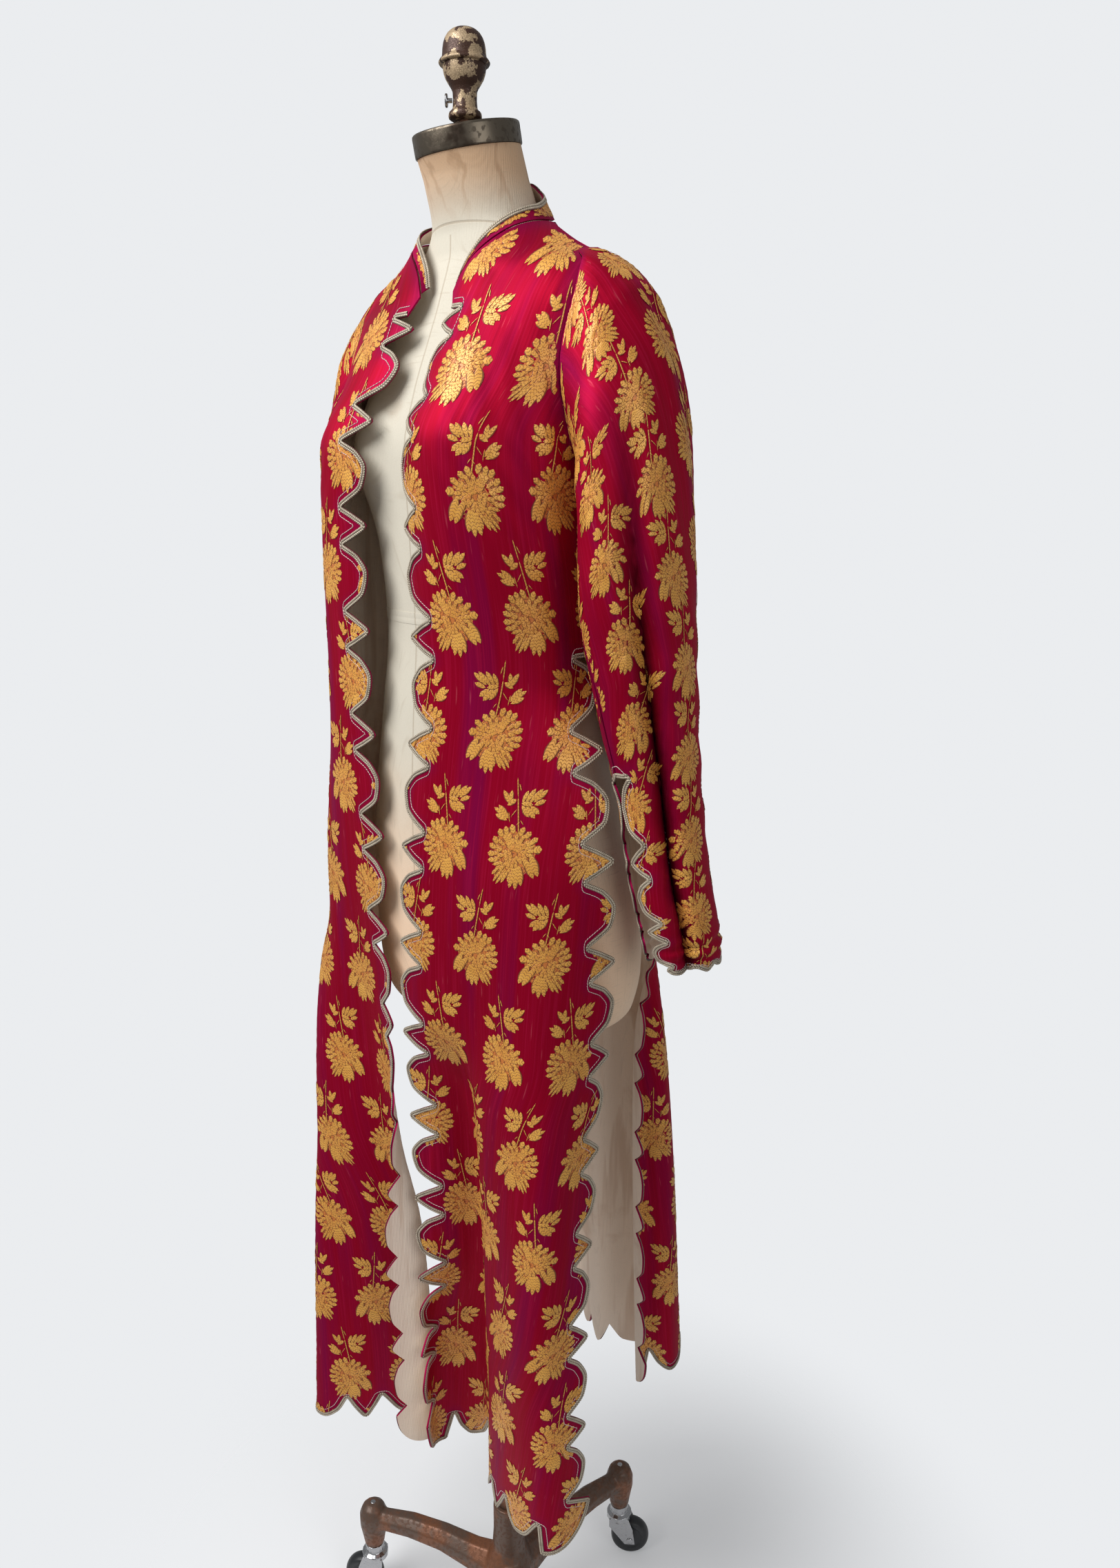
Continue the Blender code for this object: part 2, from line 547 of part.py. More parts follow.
def cloth_panel(name, place, outline, grid, outward, braid_points):
    """A panel of cloth, and the braid that lies along part of its edge.

    The flat outline is filled with triangles, laid on its form and thickened. A row of points just
    inside the edge carries the braid's inner side, so that braid and cloth share their lines.
    """
    rim = np.array(outline, float)
    row = inner_row(rim)
    grid = np.array(grid, float).reshape(-1, 2)
    grid = grid[inside(grid, row)]
    grid = grid[clear_of(grid, rim, 1.7 * BRAID_WIDTH)]
    count = len(rim)
    borders = [(i, (i + 1) % count) for i in range(count)]
    flat = [Vector(p) for p in row] + [Vector(p) for p in grid]
    _, _, middle, *_ = delaunay_2d_cdt(flat, borders, [list(range(count))], 1, 1e-9)
    triangles = [tuple(i + count for i in t) for t in middle]
    for i, j in borders:
        triangles += [(i, j, j + count), (i, j + count, i + count)]
    flat = [*rim, *row, *grid]
    spots = [place(*p) for p in flat]
    normals = [facing(place, *p, outward) for p in flat]
    cloth_wall(name, spots, normals, triangles, borders)

    lift = CLOTH / 2 + SEAM_GAP
    rings = []
    for i in range(*braid_points):
        edge = spots[i] + normals[i] * lift
        inward = spots[i + count] + normals[i + count] * lift
        rings.append((edge, (edge + inward) / 2 + normals[i] * BRAID_RISE, inward))
    ridged_strip(f"braid_{name}", rings)


def make_front(side, panel):
    outline, trimmed, _ = front_outline(panel)
    notches = notch_heights(front_edge(NECK_NOTCH_Z, HEM_Z + FOOT_LOBE, 1.0))
    grid = fold_grid(panel, notches, (1.524, 1.590))
    cloth_panel(f"front_{side}", panel.place, outline, grid, panel.outward, (0, trimmed))


def make_back(panel):
    outline, trimmed = back_outline(panel)
    notches = notch_heights([(inset, z) for z, inset in scallops(SLIT_TOP_Z, HEM_Z + FOOT_LOBE)])
    grid = fold_grid(panel, notches, (1.33, 1.40, 1.45, 1.50, 1.55, 1.59, 1.615, 1.64))
    cloth_panel("back", panel.place, outline, grid, panel.outward, (0, trimmed))


# Collar

def neckline_points(panel):
    """The front's neckline from its corner up to the shoulder, in space."""
    outline, _, count = front_outline(panel)
    return [panel.place(*p) for p in outline[-count:][::-1]]


def collar_path(left, right, back):
    """The foot of the collar, from the left corner round the back of the neck to the right corner."""
    behind = []
    for share in np.linspace(0, 1, 11)[1:-1]:
        z = NECK_POINT_Z + (BACK_NECK_Z - NECK_POINT_Z) * math.sin(math.pi * share)
        behind.append(back.place(back.across(z, share), z))
    points = np.array([*neckline_points(left), *behind, *neckline_points(right)[::-1]])
    along = np.concatenate([[0.0], np.cumsum(np.linalg.norm(np.diff(points, axis=0), axis=1))])
    return np.array([smooth(along, points, s) for s in np.linspace(0, along[-1], 41)])


def collar_place(path, share, height):
    """A point of the collar: share of the way round, and height up it."""
    marks = np.linspace(0, 1, len(path))
    foot = np.array([np.interp(share, marks, path[:, axis]) for axis in range(3)])
    inward = np.array((0.0, -0.016, foot[2])) - foot
    inward /= np.linalg.norm(inward)
    front = math.exp(-(min(share, 1 - share) / 0.14) ** 2)
    lean = inward * (0.45 + 0.40 * front) + np.array((0, 0, 0.90 - 0.35 * front))
    return foot + lean / np.linalg.norm(lean) * height


def collar_top(share):
    """How tall the collar is: low from the notches to the shoulders, full height behind the neck."""
    shares = (0.0, 0.20, 0.42)
    heights = [[COLLAR_END_HEIGHT], [COLLAR_END_HEIGHT + 0.001], [COLLAR_HEIGHT]]
    return smooth(shares, heights, min(share, 1 - share))[0]


def make_collar(path):
    spots, normals, trim = [], [], []
    for share in np.linspace(0.008, 0.992, COLLAR_STEPS):
        top = collar_top(share)
        foot = collar_place(path, share, SEAM_GAP + CLOTH * 0.8)
        low = collar_place(path, share, top - BRAID_WIDTH)
        head = collar_place(path, share, top)
        along = collar_place(path, share + 0.004, top / 2) - collar_place(path, share - 0.004, top / 2)
        normal = np.cross(along, head - foot)
        normal /= np.linalg.norm(normal)
        spots += [foot, low, head]
        normals += [normal] * 3
        lift = normal * (CLOTH / 2 + SEAM_GAP)
        trim.append((head + lift, (head + low) / 2 + lift + normal * BRAID_RISE, low + lift))
    triangles = []
    for i in range(0, 3 * (COLLAR_STEPS - 1), 3):
        for foot, head in ((i, i + 1), (i + 1, i + 2)):
            triangles += [(head, foot, foot + 3), (head, foot + 3, head + 3)]
    last = 3 * COLLAR_STEPS - 1
    loop = [*range(0, last, 3), last - 1, *range(last, 0, -3), 1]
    cloth_wall("collar", spots, normals, triangles, list(zip(loop, loop[1:] + loop[:1])))
    ridged_strip("braid_collar", trim)


# Sleeves

def armhole_loop(front_panel, back_panel, sign):
    """The sleeve's first edge, just outside the armhole: up the front, over the shoulder and down the back."""
    lift = CLOTH + 2 * SEAM_GAP
    lines = []
    for panel, far in ((front_panel, True), (back_panel, sign < 0)):
        line = armhole_line(panel, far)
        lines.append([panel.place(*p) + facing(panel.place, *p, panel.outward) * lift for p in line])
    front, back = lines
    return np.array([(front[0] + back[0]) / 2, *front[1:-1], (front[-1] + back[-1]) / 2, *back[1:-1][::-1],
                     (front[0] + back[0]) / 2])


def sleeve_ring(row, share):
    """A point of the left sleeve's oval. Share 0 and 1 are its seam, which turns forward to the slit."""
    marks = np.arange(len(SLEEVE))
    inner_x, inner_z, outer_x, outer_z, middle_y, depth, crease = smooth(marks, np.array(SLEEVE), row)
    settle = smooth((0, 3), [[0.0], [1.0]], min(row, 3))[0]
    angle = math.pi + SLEEVE_SEAM_TURN * settle + share * 2 * math.pi
    away = math.atan2(math.sin(angle - CREASE_ANGLE), math.cos(angle - CREASE_ANGLE))
    pinch = 1 - crease * math.exp(-((away / CREASE_SPREAD) ** 2))
    across = math.cos(angle) * pinch
    x = (inner_x + outer_x) / 2 + (outer_x - inner_x) / 2 * across
    z = (inner_z + outer_z) / 2 + (outer_z - inner_z) / 2 * across
    return np.array((x, middle_y + depth * math.sin(angle) * pinch, z))


def sleeve_place(loop, sign, run, height):
    """A point of a sleeve: run goes round it and height down it, with the shoulder's first ring at 0."""
    row = -height / SLEEVE_PITCH
    parting = SLEEVE_SLIT_PARTING * max(row - SLEEVE_SLIT_ROW, 0) / (len(SLEEVE) - 1 - SLEEVE_SLIT_ROW)
    share = min(max(run / SLEEVE_GIRTH, -0.01), 1.01) * (1 - 2 * parting) + parting
    ring = sleeve_ring(max(row, 0.0), share) * np.array((sign, 1, 1))
    if row >= 0:
        return ring
    marks = np.linspace(0, 1, len(loop))
    seam = np.array([np.interp(share, marks, loop[:, axis]) for axis in range(3)])
    t = min(row + 1, 1.0)
    crown = SLEEVE_CROWN * math.sin(math.pi * share) ** 2 * math.sin(math.pi * t)
    return seam * (1 - t) + ring * t + np.array((0, 0, crown))


def make_sleeve(side, sign, loop):
    """A sleeve: one flat piece rolled round the arm, seamed below and open at the wrist in a scalloped slit."""
    place = functools.partial(sleeve_place, loop, sign)
    top = SLEEVE_PITCH
    cuff = -(len(SLEEVE) - 1) * SLEEVE_PITCH
    slit = -SLEEVE_SLIT_ROW * SLEEVE_PITCH
    cuff_corner = cuff + 0.022
    upper = [(SLEEVE_SLIT_GAP, h) for h in np.linspace(top, slit, 10)[:-1]]
    edge = [(SLEEVE_SLIT_GAP + inset, h) for h, inset in scallops(slit, cuff_corner, 0.022)]
    edge[0] = (SLEEVE_SLIT_GAP, slit)
    hem = [(run, cuff + inset) for run, inset in scallops(0.016, SLEEVE_GIRTH - 0.016, 0.014, 0.042, 0.026)]
    half = upper + edge + hem[:len(hem) // 2]
    outline = half + [(SLEEVE_GIRTH - run, h) for run, h in half[::-1]]
    outline += [(SLEEVE_GIRTH * share, top) for share in np.linspace(1, 0, len(loop))[1:-1]]
    grid = [(SLEEVE_GIRTH * share, top * 0.84) for share in (0.06, 0.11, 0.16, 0.84, 0.89, 0.94)]
    for n, h in enumerate([top * 0.7, top * 0.35, *np.linspace(0, cuff + 0.035, 10)]):
        grid += [(SLEEVE_GIRTH * share, h) for share in np.array(SLEEVE_COLUMNS) + (n % 2) * 0.006]
    first = len(upper)
    last = 2 * len(half) - first
    cloth_panel(f"sleeve_{side}", place, outline, grid, 1 if sign > 0 else -1, (first, last))


# Dress form

def form_ring(z, sides=FORM_SIDES, grow=1.0):
    """The dress form's outline at one height."""
    heights = [row[0] for row in FORM]
    half, front, back = smooth(heights, np.array([row[1:] for row in FORM]), z)
    middle = (front + back) / 2
    bust = BUST_RISE * math.exp(-((z - BUST_Z) / BUST_TALL) ** 2)
    ring = []
    for i in range(sides):
        angle = 2 * math.pi * i / sides
        x = half * math.cos(angle)
        y = middle + (back - front) / 2 * math.sin(angle)
        if y < middle:
            swell = math.exp(-((abs(x) - BUST_APEX_X) / BUST_SPREAD) ** 2)
            y += bust * swell * math.sin(angle)
        ring.append((x * grow, middle + (y - middle) * grow, z))
    return ring


def neck_plane(y):
    """The height of the sloping top of the neck."""
    return NECK_TOP_Z + (y - NECK_CENTRE_Y) * math.tan(CAP_TILT)


def make_form():
    rings = [form_ring(z) for z in FORM_RING_HEIGHTS]
    rings.append([(x, y, neck_plane(y)) for x, y, _ in form_ring(NECK_TOP_Z)])
    loft("form_torso", rings, LINEN)


def turned(name, profile, finish, sides, centre, smoothed=True):
    """A turned piece: (radius, height) pairs spun about an upright axis, with both ends closed."""
    rings = []
    for radius, height in profile:
        ring = []
        for i in range(sides):
            angle = 2 * math.pi * (i + 0.5) / sides
            ring.append((centre[0] + radius * math.cos(angle), centre[1] + radius * math.sin(angle),
                         centre[2] + height))
        rings.append(ring)
    return loft(name, rings, finish, smoothed)


def make_neck_fittings():
    """The metal cap on the neck, and the spun brass fitting on top of it."""
    up = np.array((0.0, -math.sin(CAP_TILT), math.cos(CAP_TILT)))
    rings = []
    for lift, grow in ((SEAM_GAP, 1.03), (CAP_HEIGHT - 0.0015, 1.03), (CAP_HEIGHT, 0.98)):
        rings.append([np.array((x, y, neck_plane(y))) + up * lift for x, y, _ in form_ring(NECK_TOP_Z, FORM_SIDES, grow)])
    loft("neck_cap", rings, PEWTER)
    seat = np.array((0.0, NECK_CENTRE_Y, NECK_TOP_Z)) + up * CAP_HEIGHT
    stem_top = seat[2] + 0.0065
    stem = []
    for i in range(12):
        angle = 2 * math.pi * i / 12
        x, y = 0.0055 * math.cos(angle), seat[1] + 0.0055 * math.sin(angle)
        stem.append((x, y, seat[2] + (y - seat[1]) * math.tan(CAP_TILT) + SEAM_GAP))
    loft("finial_stem", [stem, [(x, y, stem_top) for x, y, _ in stem]], IRON)
    foot = np.array((0.0, seat[1], stem_top + SEAM_GAP))
    # Columns: radius, height above the foot
    body = ((0.0125, 0.0), (0.0150, 0.0015), (0.0150, 0.0060), (0.0122, 0.0082), (0.0111, 0.0098),
            (0.0111, 0.0232), (0.0150, 0.0300), (0.0188, 0.0380), (0.0196, 0.0450))
    turned("finial_body", body, PAINTED_BRASS, 20, foot)
    bell = ((0.0225, 0.0453), (0.0234, 0.0466), (0.0226, 0.0482), (0.0202, 0.0510), (0.0195, 0.0580),
            (0.0172, 0.0665), (0.0120, 0.0725), (0.0055, 0.0748))
    turned("finial_bell", bell, PAINTED_BRASS, 20, foot)
    make_thumb_screw(foot)


SCREW_HEADING = math.radians(225)


def make_thumb_screw(foot):
    """The small screw that clamps the neck of the fitting."""
    out = np.array((math.cos(SCREW_HEADING), math.sin(SCREW_HEADING), 0.0))
    side = np.array((-out[1], out[0], 0.0))
    rings = []
    for reach, radius in ((0.0115, 0.0020), (0.0155, 0.0020), (0.0157, 0.0055), (0.0180, 0.0055)):
        ring = []
        for i in range(10):
            angle = 2 * math.pi * i / 10
            ring.append(foot + (0, 0, 0.0165) + out * reach
                        + (side * math.cos(angle) + np.array((0, 0, 1)) * math.sin(angle)) * radius)
        rings.append(ring)
    loft("thumb_screw", rings, STEEL)


# Stand

def make_post():
    """The post that carries the form, and the flange screwed under the form."""
    flange = ((0.0450, -0.0100), (0.0450, -SEAM_GAP))
    turned("post_flange", flange, IRON, 24, (0, 0, FORM_BOTTOM_Z))
    turned("post", ((POST_R, POST_FOOT_Z), (POST_R, FORM_BOTTOM_Z - 0.0100 - SEAM_GAP)), IRON, 12, (0, 0, 0))


def leg_rings(angle):
    """One leg of the base: a crowned arm from the hub out to the knob that holds a caster."""
    out = np.array((math.cos(angle), math.sin(angle), 0.0))
    side = np.array((-math.sin(angle), math.cos(angle), 0.0))
    # Columns: distance from the post, height of the middle, half width, half thickness
    stations = ((0.012, 0.098, 0.024, 0.030), (0.045, 0.105, 0.019, 0.022), (0.090, 0.116, 0.016, 0.018),
                (0.135, 0.119, 0.015, 0.016), (LEG_REACH - 0.004, 0.114, 0.013, 0.014))
    rings = []
    for reach, height, half, thick in stations:
        ring = []
        for i in range(8):
            turn = 2 * math.pi * (i + 0.5) / 8
            ring.append(out * reach + side * half * math.cos(turn) + np.array((0, 0, height + thick * math.sin(turn))))
        rings.append(ring)
    return rings


def hide(cutter):
    cutter.hide_render = True
    cutter.display_type = "WIRE"


def join(target, others):
    """Unites closed pieces into one body."""
    for other in others:
        union = target.modifiers.new("join", "BOOLEAN")
        union.operation = "UNION"
        union.object = other
        hide(other)


def make_base():
    """The cast base: a hub with a socket for the post, three legs, and a knob at each leg's end."""
    socket = ((0.0300, 0.070), (0.0330, 0.085), (0.0300, 0.115), (0.0210, 0.137), (0.0190, 0.165),
              (0.0190, SOCKET_TOP_Z))
    hub = turned("base", socket, IRON, 16, (0, 0, 0))
    knob = ((0.0125, KNOB_FOOT_Z), (0.0150, 0.090), (0.0180, 0.106), (0.0180, 0.121), (0.0145, 0.131),
            (0.0080, 0.1365))
    shapes = []
    for n, degrees in enumerate(LEG_ANGLES):
        angle = math.radians(degrees)
        shapes.append(loft(f"leg_shape_{n}", leg_rings(angle), IRON))
        centre = (LEG_REACH * math.cos(angle), LEG_REACH * math.sin(angle), 0)
        shapes.append(turned(f"knob_shape_{n}", knob, IRON, 12, centre))
    join(hub, shapes)
    bore_r = POST_R + 0.0006
    bore = turned("post_bore", ((bore_r, POST_FOOT_Z - 0.0015), (bore_r, SOCKET_TOP_Z + 0.05)), IRON, 12, (0, 0, 0))
    cut = hub.modifiers.new("bore", "BOOLEAN")
    cut.operation = "DIFFERENCE"
    cut.object = bore
    hide(bore)


def make_caster(n):
    """A swivel fork under a knob, and its wheel. The wheel trails behind the fork's pivot."""
    angle = math.radians(LEG_ANGLES[n])
    heading = math.radians(CASTER_HEADINGS[n])
    pivot = np.array((LEG_REACH * math.cos(angle), LEG_REACH * math.sin(angle), 0.0))
    trail = np.array((math.cos(heading), math.sin(heading), 0.0))
    side = np.array((-math.sin(heading), math.cos(heading), 0.0))
    up = np.array((0.0, 0.0, 1.0))
    axle = pivot + trail * CASTER_TRAIL + up * WHEEL_R

    cheek_inner = WHEEL_WIDTH / 2 + 0.0022
    hub_half = cheek_inner - SEAM_GAP
    sides = 18
    rings = []
    # Columns: distance along the axle, radius
    for across, radius in ((-hub_half, 0.006), (-0.0090, WHEEL_R * 0.86), (-0.0068, WHEEL_R),
                           (0.0068, WHEEL_R), (0.0090, WHEEL_R * 0.86), (hub_half, 0.006)):
        reach = radius / math.cos(math.pi / sides)
        ring = []
        for i in range(sides):
            turn = 2 * math.pi * (i + 0.5) / sides - math.pi / 2
            ring.append(axle + side * across + trail * reach * math.cos(turn) + up * reach * math.sin(turn))
        rings.append(ring)
    loft(f"wheel_{n}", rings, RUBBER)

    crown_z = 0.0590
    # The fork's cheek in side view. Columns: distance behind the pivot, height
    cheek = ((-0.013, crown_z), (-0.013, crown_z - 0.012), (CASTER_TRAIL - 0.007, WHEEL_R - 0.006),
             (CASTER_TRAIL + 0.007, WHEEL_R - 0.006), (CASTER_TRAIL + 0.004, crown_z - 0.016), (0.013, crown_z))
    shapes = []
    for hand in (-1, 1):
        plates = []
        for depth in (cheek_inner, cheek_inner + 0.0018):
            plates.append([pivot + trail * along + side * hand * depth + up * z for along, z in cheek])
        shapes.append(loft(f"cheek_shape_{n}_{hand + 1}", plates, STEEL))
    crown = ((0.0168, crown_z - 0.0045), (0.0168, crown_z + 0.0030), (0.0120, crown_z + 0.0060),
             (0.0120, KNOB_FOOT_Z - SEAM_GAP))
    join(turned(f"caster_{n}", crown, STEEL, 16, tuple(pivot)), shapes)


def build():
    for old in list(bpy.data.objects):
        bpy.data.objects.remove(old)
    left = Panel(LEFT_FRONT, 0, 1, slit_depth=0.7)
    right = Panel(RIGHT_FRONT, 0, -1, front_depth=0.45)
    back = Panel(BACK, BACK_CENTRE_COLUMN, 1, slit_depth=0.55)
    make_front("left", left)
    make_front("right", right)
    make_back(back)
    make_collar(collar_path(left, right, back))
    make_sleeve("left", 1, armhole_loop(left, back, 1))
    make_sleeve("right", -1, armhole_loop(right, back, -1))
    make_form()
    make_neck_fittings()
    make_post()
    make_base()
    for n in range(len(LEG_ANGLES)):
        make_caster(n)


build()
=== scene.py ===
# %% [markdown]
# # A scalloped silk coat on a dress form
# The coat is a long robe of crimson silk satin brocaded with golden blossoms, lined with cream cotton and
# edged all round with a silvery plaited braid. It hangs open on a limbless linen dress form, which stands
# on a post in a cast iron base with three casters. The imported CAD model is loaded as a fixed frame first.
# Every piece below is then made in the same metres, at the place where the frame's own node is.

# %% Load the frame
import functools
import math
import time

import bpy
import numpy as np
from mathutils import Euler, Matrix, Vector
from mathutils.bvhtree import BVHTree
from mathutils.geometry import delaunay_2d_cdt
from mathutils.kdtree import KDTree


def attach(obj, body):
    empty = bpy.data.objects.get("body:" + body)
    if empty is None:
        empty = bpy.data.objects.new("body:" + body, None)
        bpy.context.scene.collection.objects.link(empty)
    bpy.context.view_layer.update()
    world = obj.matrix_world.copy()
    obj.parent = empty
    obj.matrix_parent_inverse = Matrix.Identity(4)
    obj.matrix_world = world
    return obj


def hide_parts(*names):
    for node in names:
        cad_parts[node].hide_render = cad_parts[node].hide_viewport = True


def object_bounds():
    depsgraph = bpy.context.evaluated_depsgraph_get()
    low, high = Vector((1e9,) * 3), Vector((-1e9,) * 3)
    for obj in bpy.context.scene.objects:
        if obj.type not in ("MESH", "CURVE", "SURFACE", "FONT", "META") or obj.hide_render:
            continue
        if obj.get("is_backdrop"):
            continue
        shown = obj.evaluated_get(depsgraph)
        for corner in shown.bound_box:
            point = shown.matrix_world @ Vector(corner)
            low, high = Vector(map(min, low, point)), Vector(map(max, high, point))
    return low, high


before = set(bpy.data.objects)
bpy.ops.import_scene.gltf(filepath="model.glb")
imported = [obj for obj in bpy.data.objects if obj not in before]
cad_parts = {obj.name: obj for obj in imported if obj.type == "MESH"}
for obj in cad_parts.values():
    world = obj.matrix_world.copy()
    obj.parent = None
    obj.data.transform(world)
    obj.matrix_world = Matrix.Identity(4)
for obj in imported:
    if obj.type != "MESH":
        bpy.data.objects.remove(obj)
cad_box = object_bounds()
started = time.time()

# %% [markdown]
# The camera stands to the wearer's left and in front, a little below the shoulders, as the photographer
# did. A view is easiest to match when it comes first, because every later piece is then judged through
# it. The lens is in millimetres on a 36 mm sensor, measured along the picture's long side.

# %% Camera
def link_object(name, data):
    """A new object in the scene that shows the data."""
    made = bpy.data.objects.new(name, data)
    bpy.context.scene.collection.objects.link(made)
    return made


camera = link_object("camera", bpy.data.cameras.new("camera"))
camera.location = (0.897, -0.8598, 1.4065)
camera.rotation_euler = Euler((math.radians(76.3), 0, math.radians(45)))
camera.data.lens = 27.04
camera.data.sensor_width = 36
bpy.context.scene.camera = camera
print("camera at", tuple(round(v, 3) for v in camera.location))

# %% [markdown]
# ## Sizes
# Each panel of cloth is drawn flat, as run and height: run is the distance along the cloth from its first
# edge, and height is above the floor. A section table says where that cloth lies in plan at each height.
# The frame's solids were made from these same tables, so the fine cloth lands exactly where they are.

# %% Sizes of the coat
CLOTH = 0.002
SEAM_GAP = 0.0003
SHOULDER_TIP_Z = 1.616
NECK_POINT_Z = 1.648
BACK_NECK_Z = 1.662
NECK_NOTCH_Z = 1.568
NECK_NOTCH_INSET = 0.012
NECK_CORNER_TURN = 0.13
UNDERARM_Z = 1.430
SLIT_TOP_Z = 1.262
HEM_Z = 0.308
ARMHOLE_DEPTH = 0.056
COLLAR_HEIGHT = 0.036
COLLAR_END_HEIGHT = 0.012
BROAD_LOBE = 0.064
NARROW_LOBE = 0.036
NOTCH_DEPTH = 0.030
LOW_NOTCHES = (0.84, 1.00)
FOOT_LOBE = 0.058
TAIL = 0.006
BRAID_WIDTH = 0.005
CENTRE = np.array((0.0, -0.0528, 0.0))

# %% Section tables
# In millimetres: a height, then the cloth's places in plan there, from the front edge to the side seam
LEFT_FRONT = (
    (280, (-24, -100), (-47, -70), (-18, -24), (66, -81), (158, -83), (173, -46)),
    (450, (-32, -104), (-42, -82), (-4, -36), (66, -82), (155, -84), (169, -42)),
    (600, (-31, -104), (-12, -88), (18, -52), (67, -85), (152, -85), (166, -33)),
    (800, (-24, -113), (2, -104), (34, -80), (69, -96), (149, -85), (163, -14)),
    (900, (-15, -124), (12, -124), (42, -118), (71, -106), (147, -84), (171, -8)),
    (1050, (-1, -130), (26, -130), (48, -125), (74, -119), (149, -80), (182, -18)),
    (1160, (10, -127), (37, -127), (60, -121), (86, -110), (140, -71), (170, -20)),
    (1240, (18, -124), (45, -124), (70, -118), (95, -104), (126, -66), (138, 0)),
    (1450, (22, -131), (50, -143), (82, -143), (112, -122), (140, -72), (149, 0)),
    (1520, (33.5, -106), (58, -116), (84, -115), (111, -96), (141, -62), (156, 0)),
    (1570, (32.5, -84), (55, -89), (80, -86), (109, -74), (144, -50), (172, 2)),
    (1600, (34.5, -73), (53, -74), (74, -69), (100, -58), (131, -41), (166, 3)),
    (1622, (36, -66), (50, -62), (64, -54), (80, -43), (97, -27), (117, 4)),
    (1650, (35, -58), (44, -51), (52, -43), (60, -31), (67, -15), (70.5, 6)),
)

RIGHT_FRONT = (
    (280, (-68, -112), (-66, -64), (-79, -51), (-110, -68), (-146, -122), (-186, -148), (-212, -64)),
    (450, (-62, -120), (-53, -74), (-66, -63), (-94, -77), (-140, -122), (-181, -142), (-204, -56)),
    (600, (-58, -127), (-49, -87), (-61, -78), (-87, -87), (-135, -120), (-176, -137), (-196, -48)),
    (720, (-46, -122), (-50, -107), (-64, -100), (-90, -101), (-133, -121), (-172, -133), (-192, -40)),
    (820, (-37, -122), (-53, -116), (-71, -112), (-99, -111), (-134, -121), (-170, -128), (-189, -30)),
    (900, (-34, -124), (-54, -121), (-74, -118), (-102, -118), (-137, -122), (-171, -117), (-184, -18)),
    (1050, (-33, -127), (-56, -129), (-86, -129), (-118, -126), (-151, -114), (-171, -70), (-172, 4)),
    (1240, (-43, -128), (-62, -131), (-90, -131), (-120, -124), (-140, -101), (-147, -57), (-138, 0)),
    (1450, (-34, -131), (-54, -137), (-80, -139), (-107, -130), (-130, -106), (-147, -60), (-149, 0)),
    (1520, (-14, -106), (-32, -112), (-56, -113), (-84, -107), (-114, -89), (-144, -53), (-156, 0)),
    (1570, (-8, -85), (-24, -89), (-46, -89), (-76, -83), (-110, -71), (-147, -46), (-172, 2)),
    (1600, (-12, -75), (-26, -75.5), (-44, -74), (-69, -68), (-98, -58), (-132, -39), (-166, 3)),
    (1622, (-20, -66), (-32, -65), (-46, -62), (-62, -55), (-79, -43), (-98, -26), (-117, 4)),
    (1650, (-32, -59), (-39, -55), (-46, -50), (-53, -42), (-60, -31), (-67, -15), (-70.5, 6)),
)

# The same for the back, from its left side round to its right
BACK = (
    (280, (80, 160), (56, 174), (50, 186), (76, 220), (58, 254), (12, 230), (-26, 190), (-66, 212), (-122, 242),
     (-170, 196), (-186, 138)),
    (600, (86, 142), (62, 156), (56, 168), (78, 198), (62, 224), (14, 204), (-18, 172), (-58, 190), (-110, 210),
     (-156, 166), (-172, 108)),
    (800, (94, 131), (73, 141), (68, 152), (81, 172), (66, 194), (23, 182), (-10, 160), (-52, 172), (-100, 180),
     (-146, 142), (-166, 82)),
    (930, (116, 124), (104, 132), (96, 141), (84, 154), (66, 163), (34, 164), (-2, 154), (-48, 164), (-96, 160),
     (-142, 122), (-170, 56)),
    (1050, (140, 82), (130, 98), (118, 112), (102, 126), (80, 138), (46, 148), (0, 152), (-50, 148), (-98, 132),
     (-142, 88), (-170, 28)),
    (1240, (138, 1), (137, 26), (131, 50), (118, 74), (96, 94), (56, 116), (0, 124), (-62, 116), (-108, 86),
     (-132, 46), (-138, 1)),
    (1450, (149, 1), (149, 28), (143, 56), (129, 82), (106, 104), (64, 124), (0, 130), (-70, 124), (-122, 94),
     (-146, 50), (-149, 1)),
    (1520, (156, 1), (153, 28), (145, 56), (130, 80), (106, 101), (64, 121), (0, 128), (-72, 120), (-124, 90),
     (-148, 48), (-156, 1)),
    (1570, (172, 3), (165, 27), (151, 51), (130, 71), (102, 88), (60, 105), (0, 114), (-70, 104), (-124, 78),
     (-158, 42), (-172, 3)),
    (1600, (166, 4), (156, 22), (140, 40), (119, 56), (92, 71), (54, 85), (0, 94), (-65, 83), (-116, 60), (-148, 33),
     (-166, 4)),
    (1622, (117, 5), (111, 15), (100, 28), (85, 41), (66, 54), (38, 67), (0, 75), (-45, 64), (-80, 45), (-104, 24),
     (-117, 5)),
    (1650, (70.5, 7), (67.5, 15), (60, 24), (51, 33), (40, 42), (23, 50), (0, 54), (-28, 48), (-49, 36), (-64, 20),
     (-70.5, 7)),
    (1680, (61, 4), (58, 11), (52, 18), (44, 26), (35, 34), (20, 41), (0, 44), (-24, 40), (-42, 30), (-55, 16),
     (-61, 4)),
)

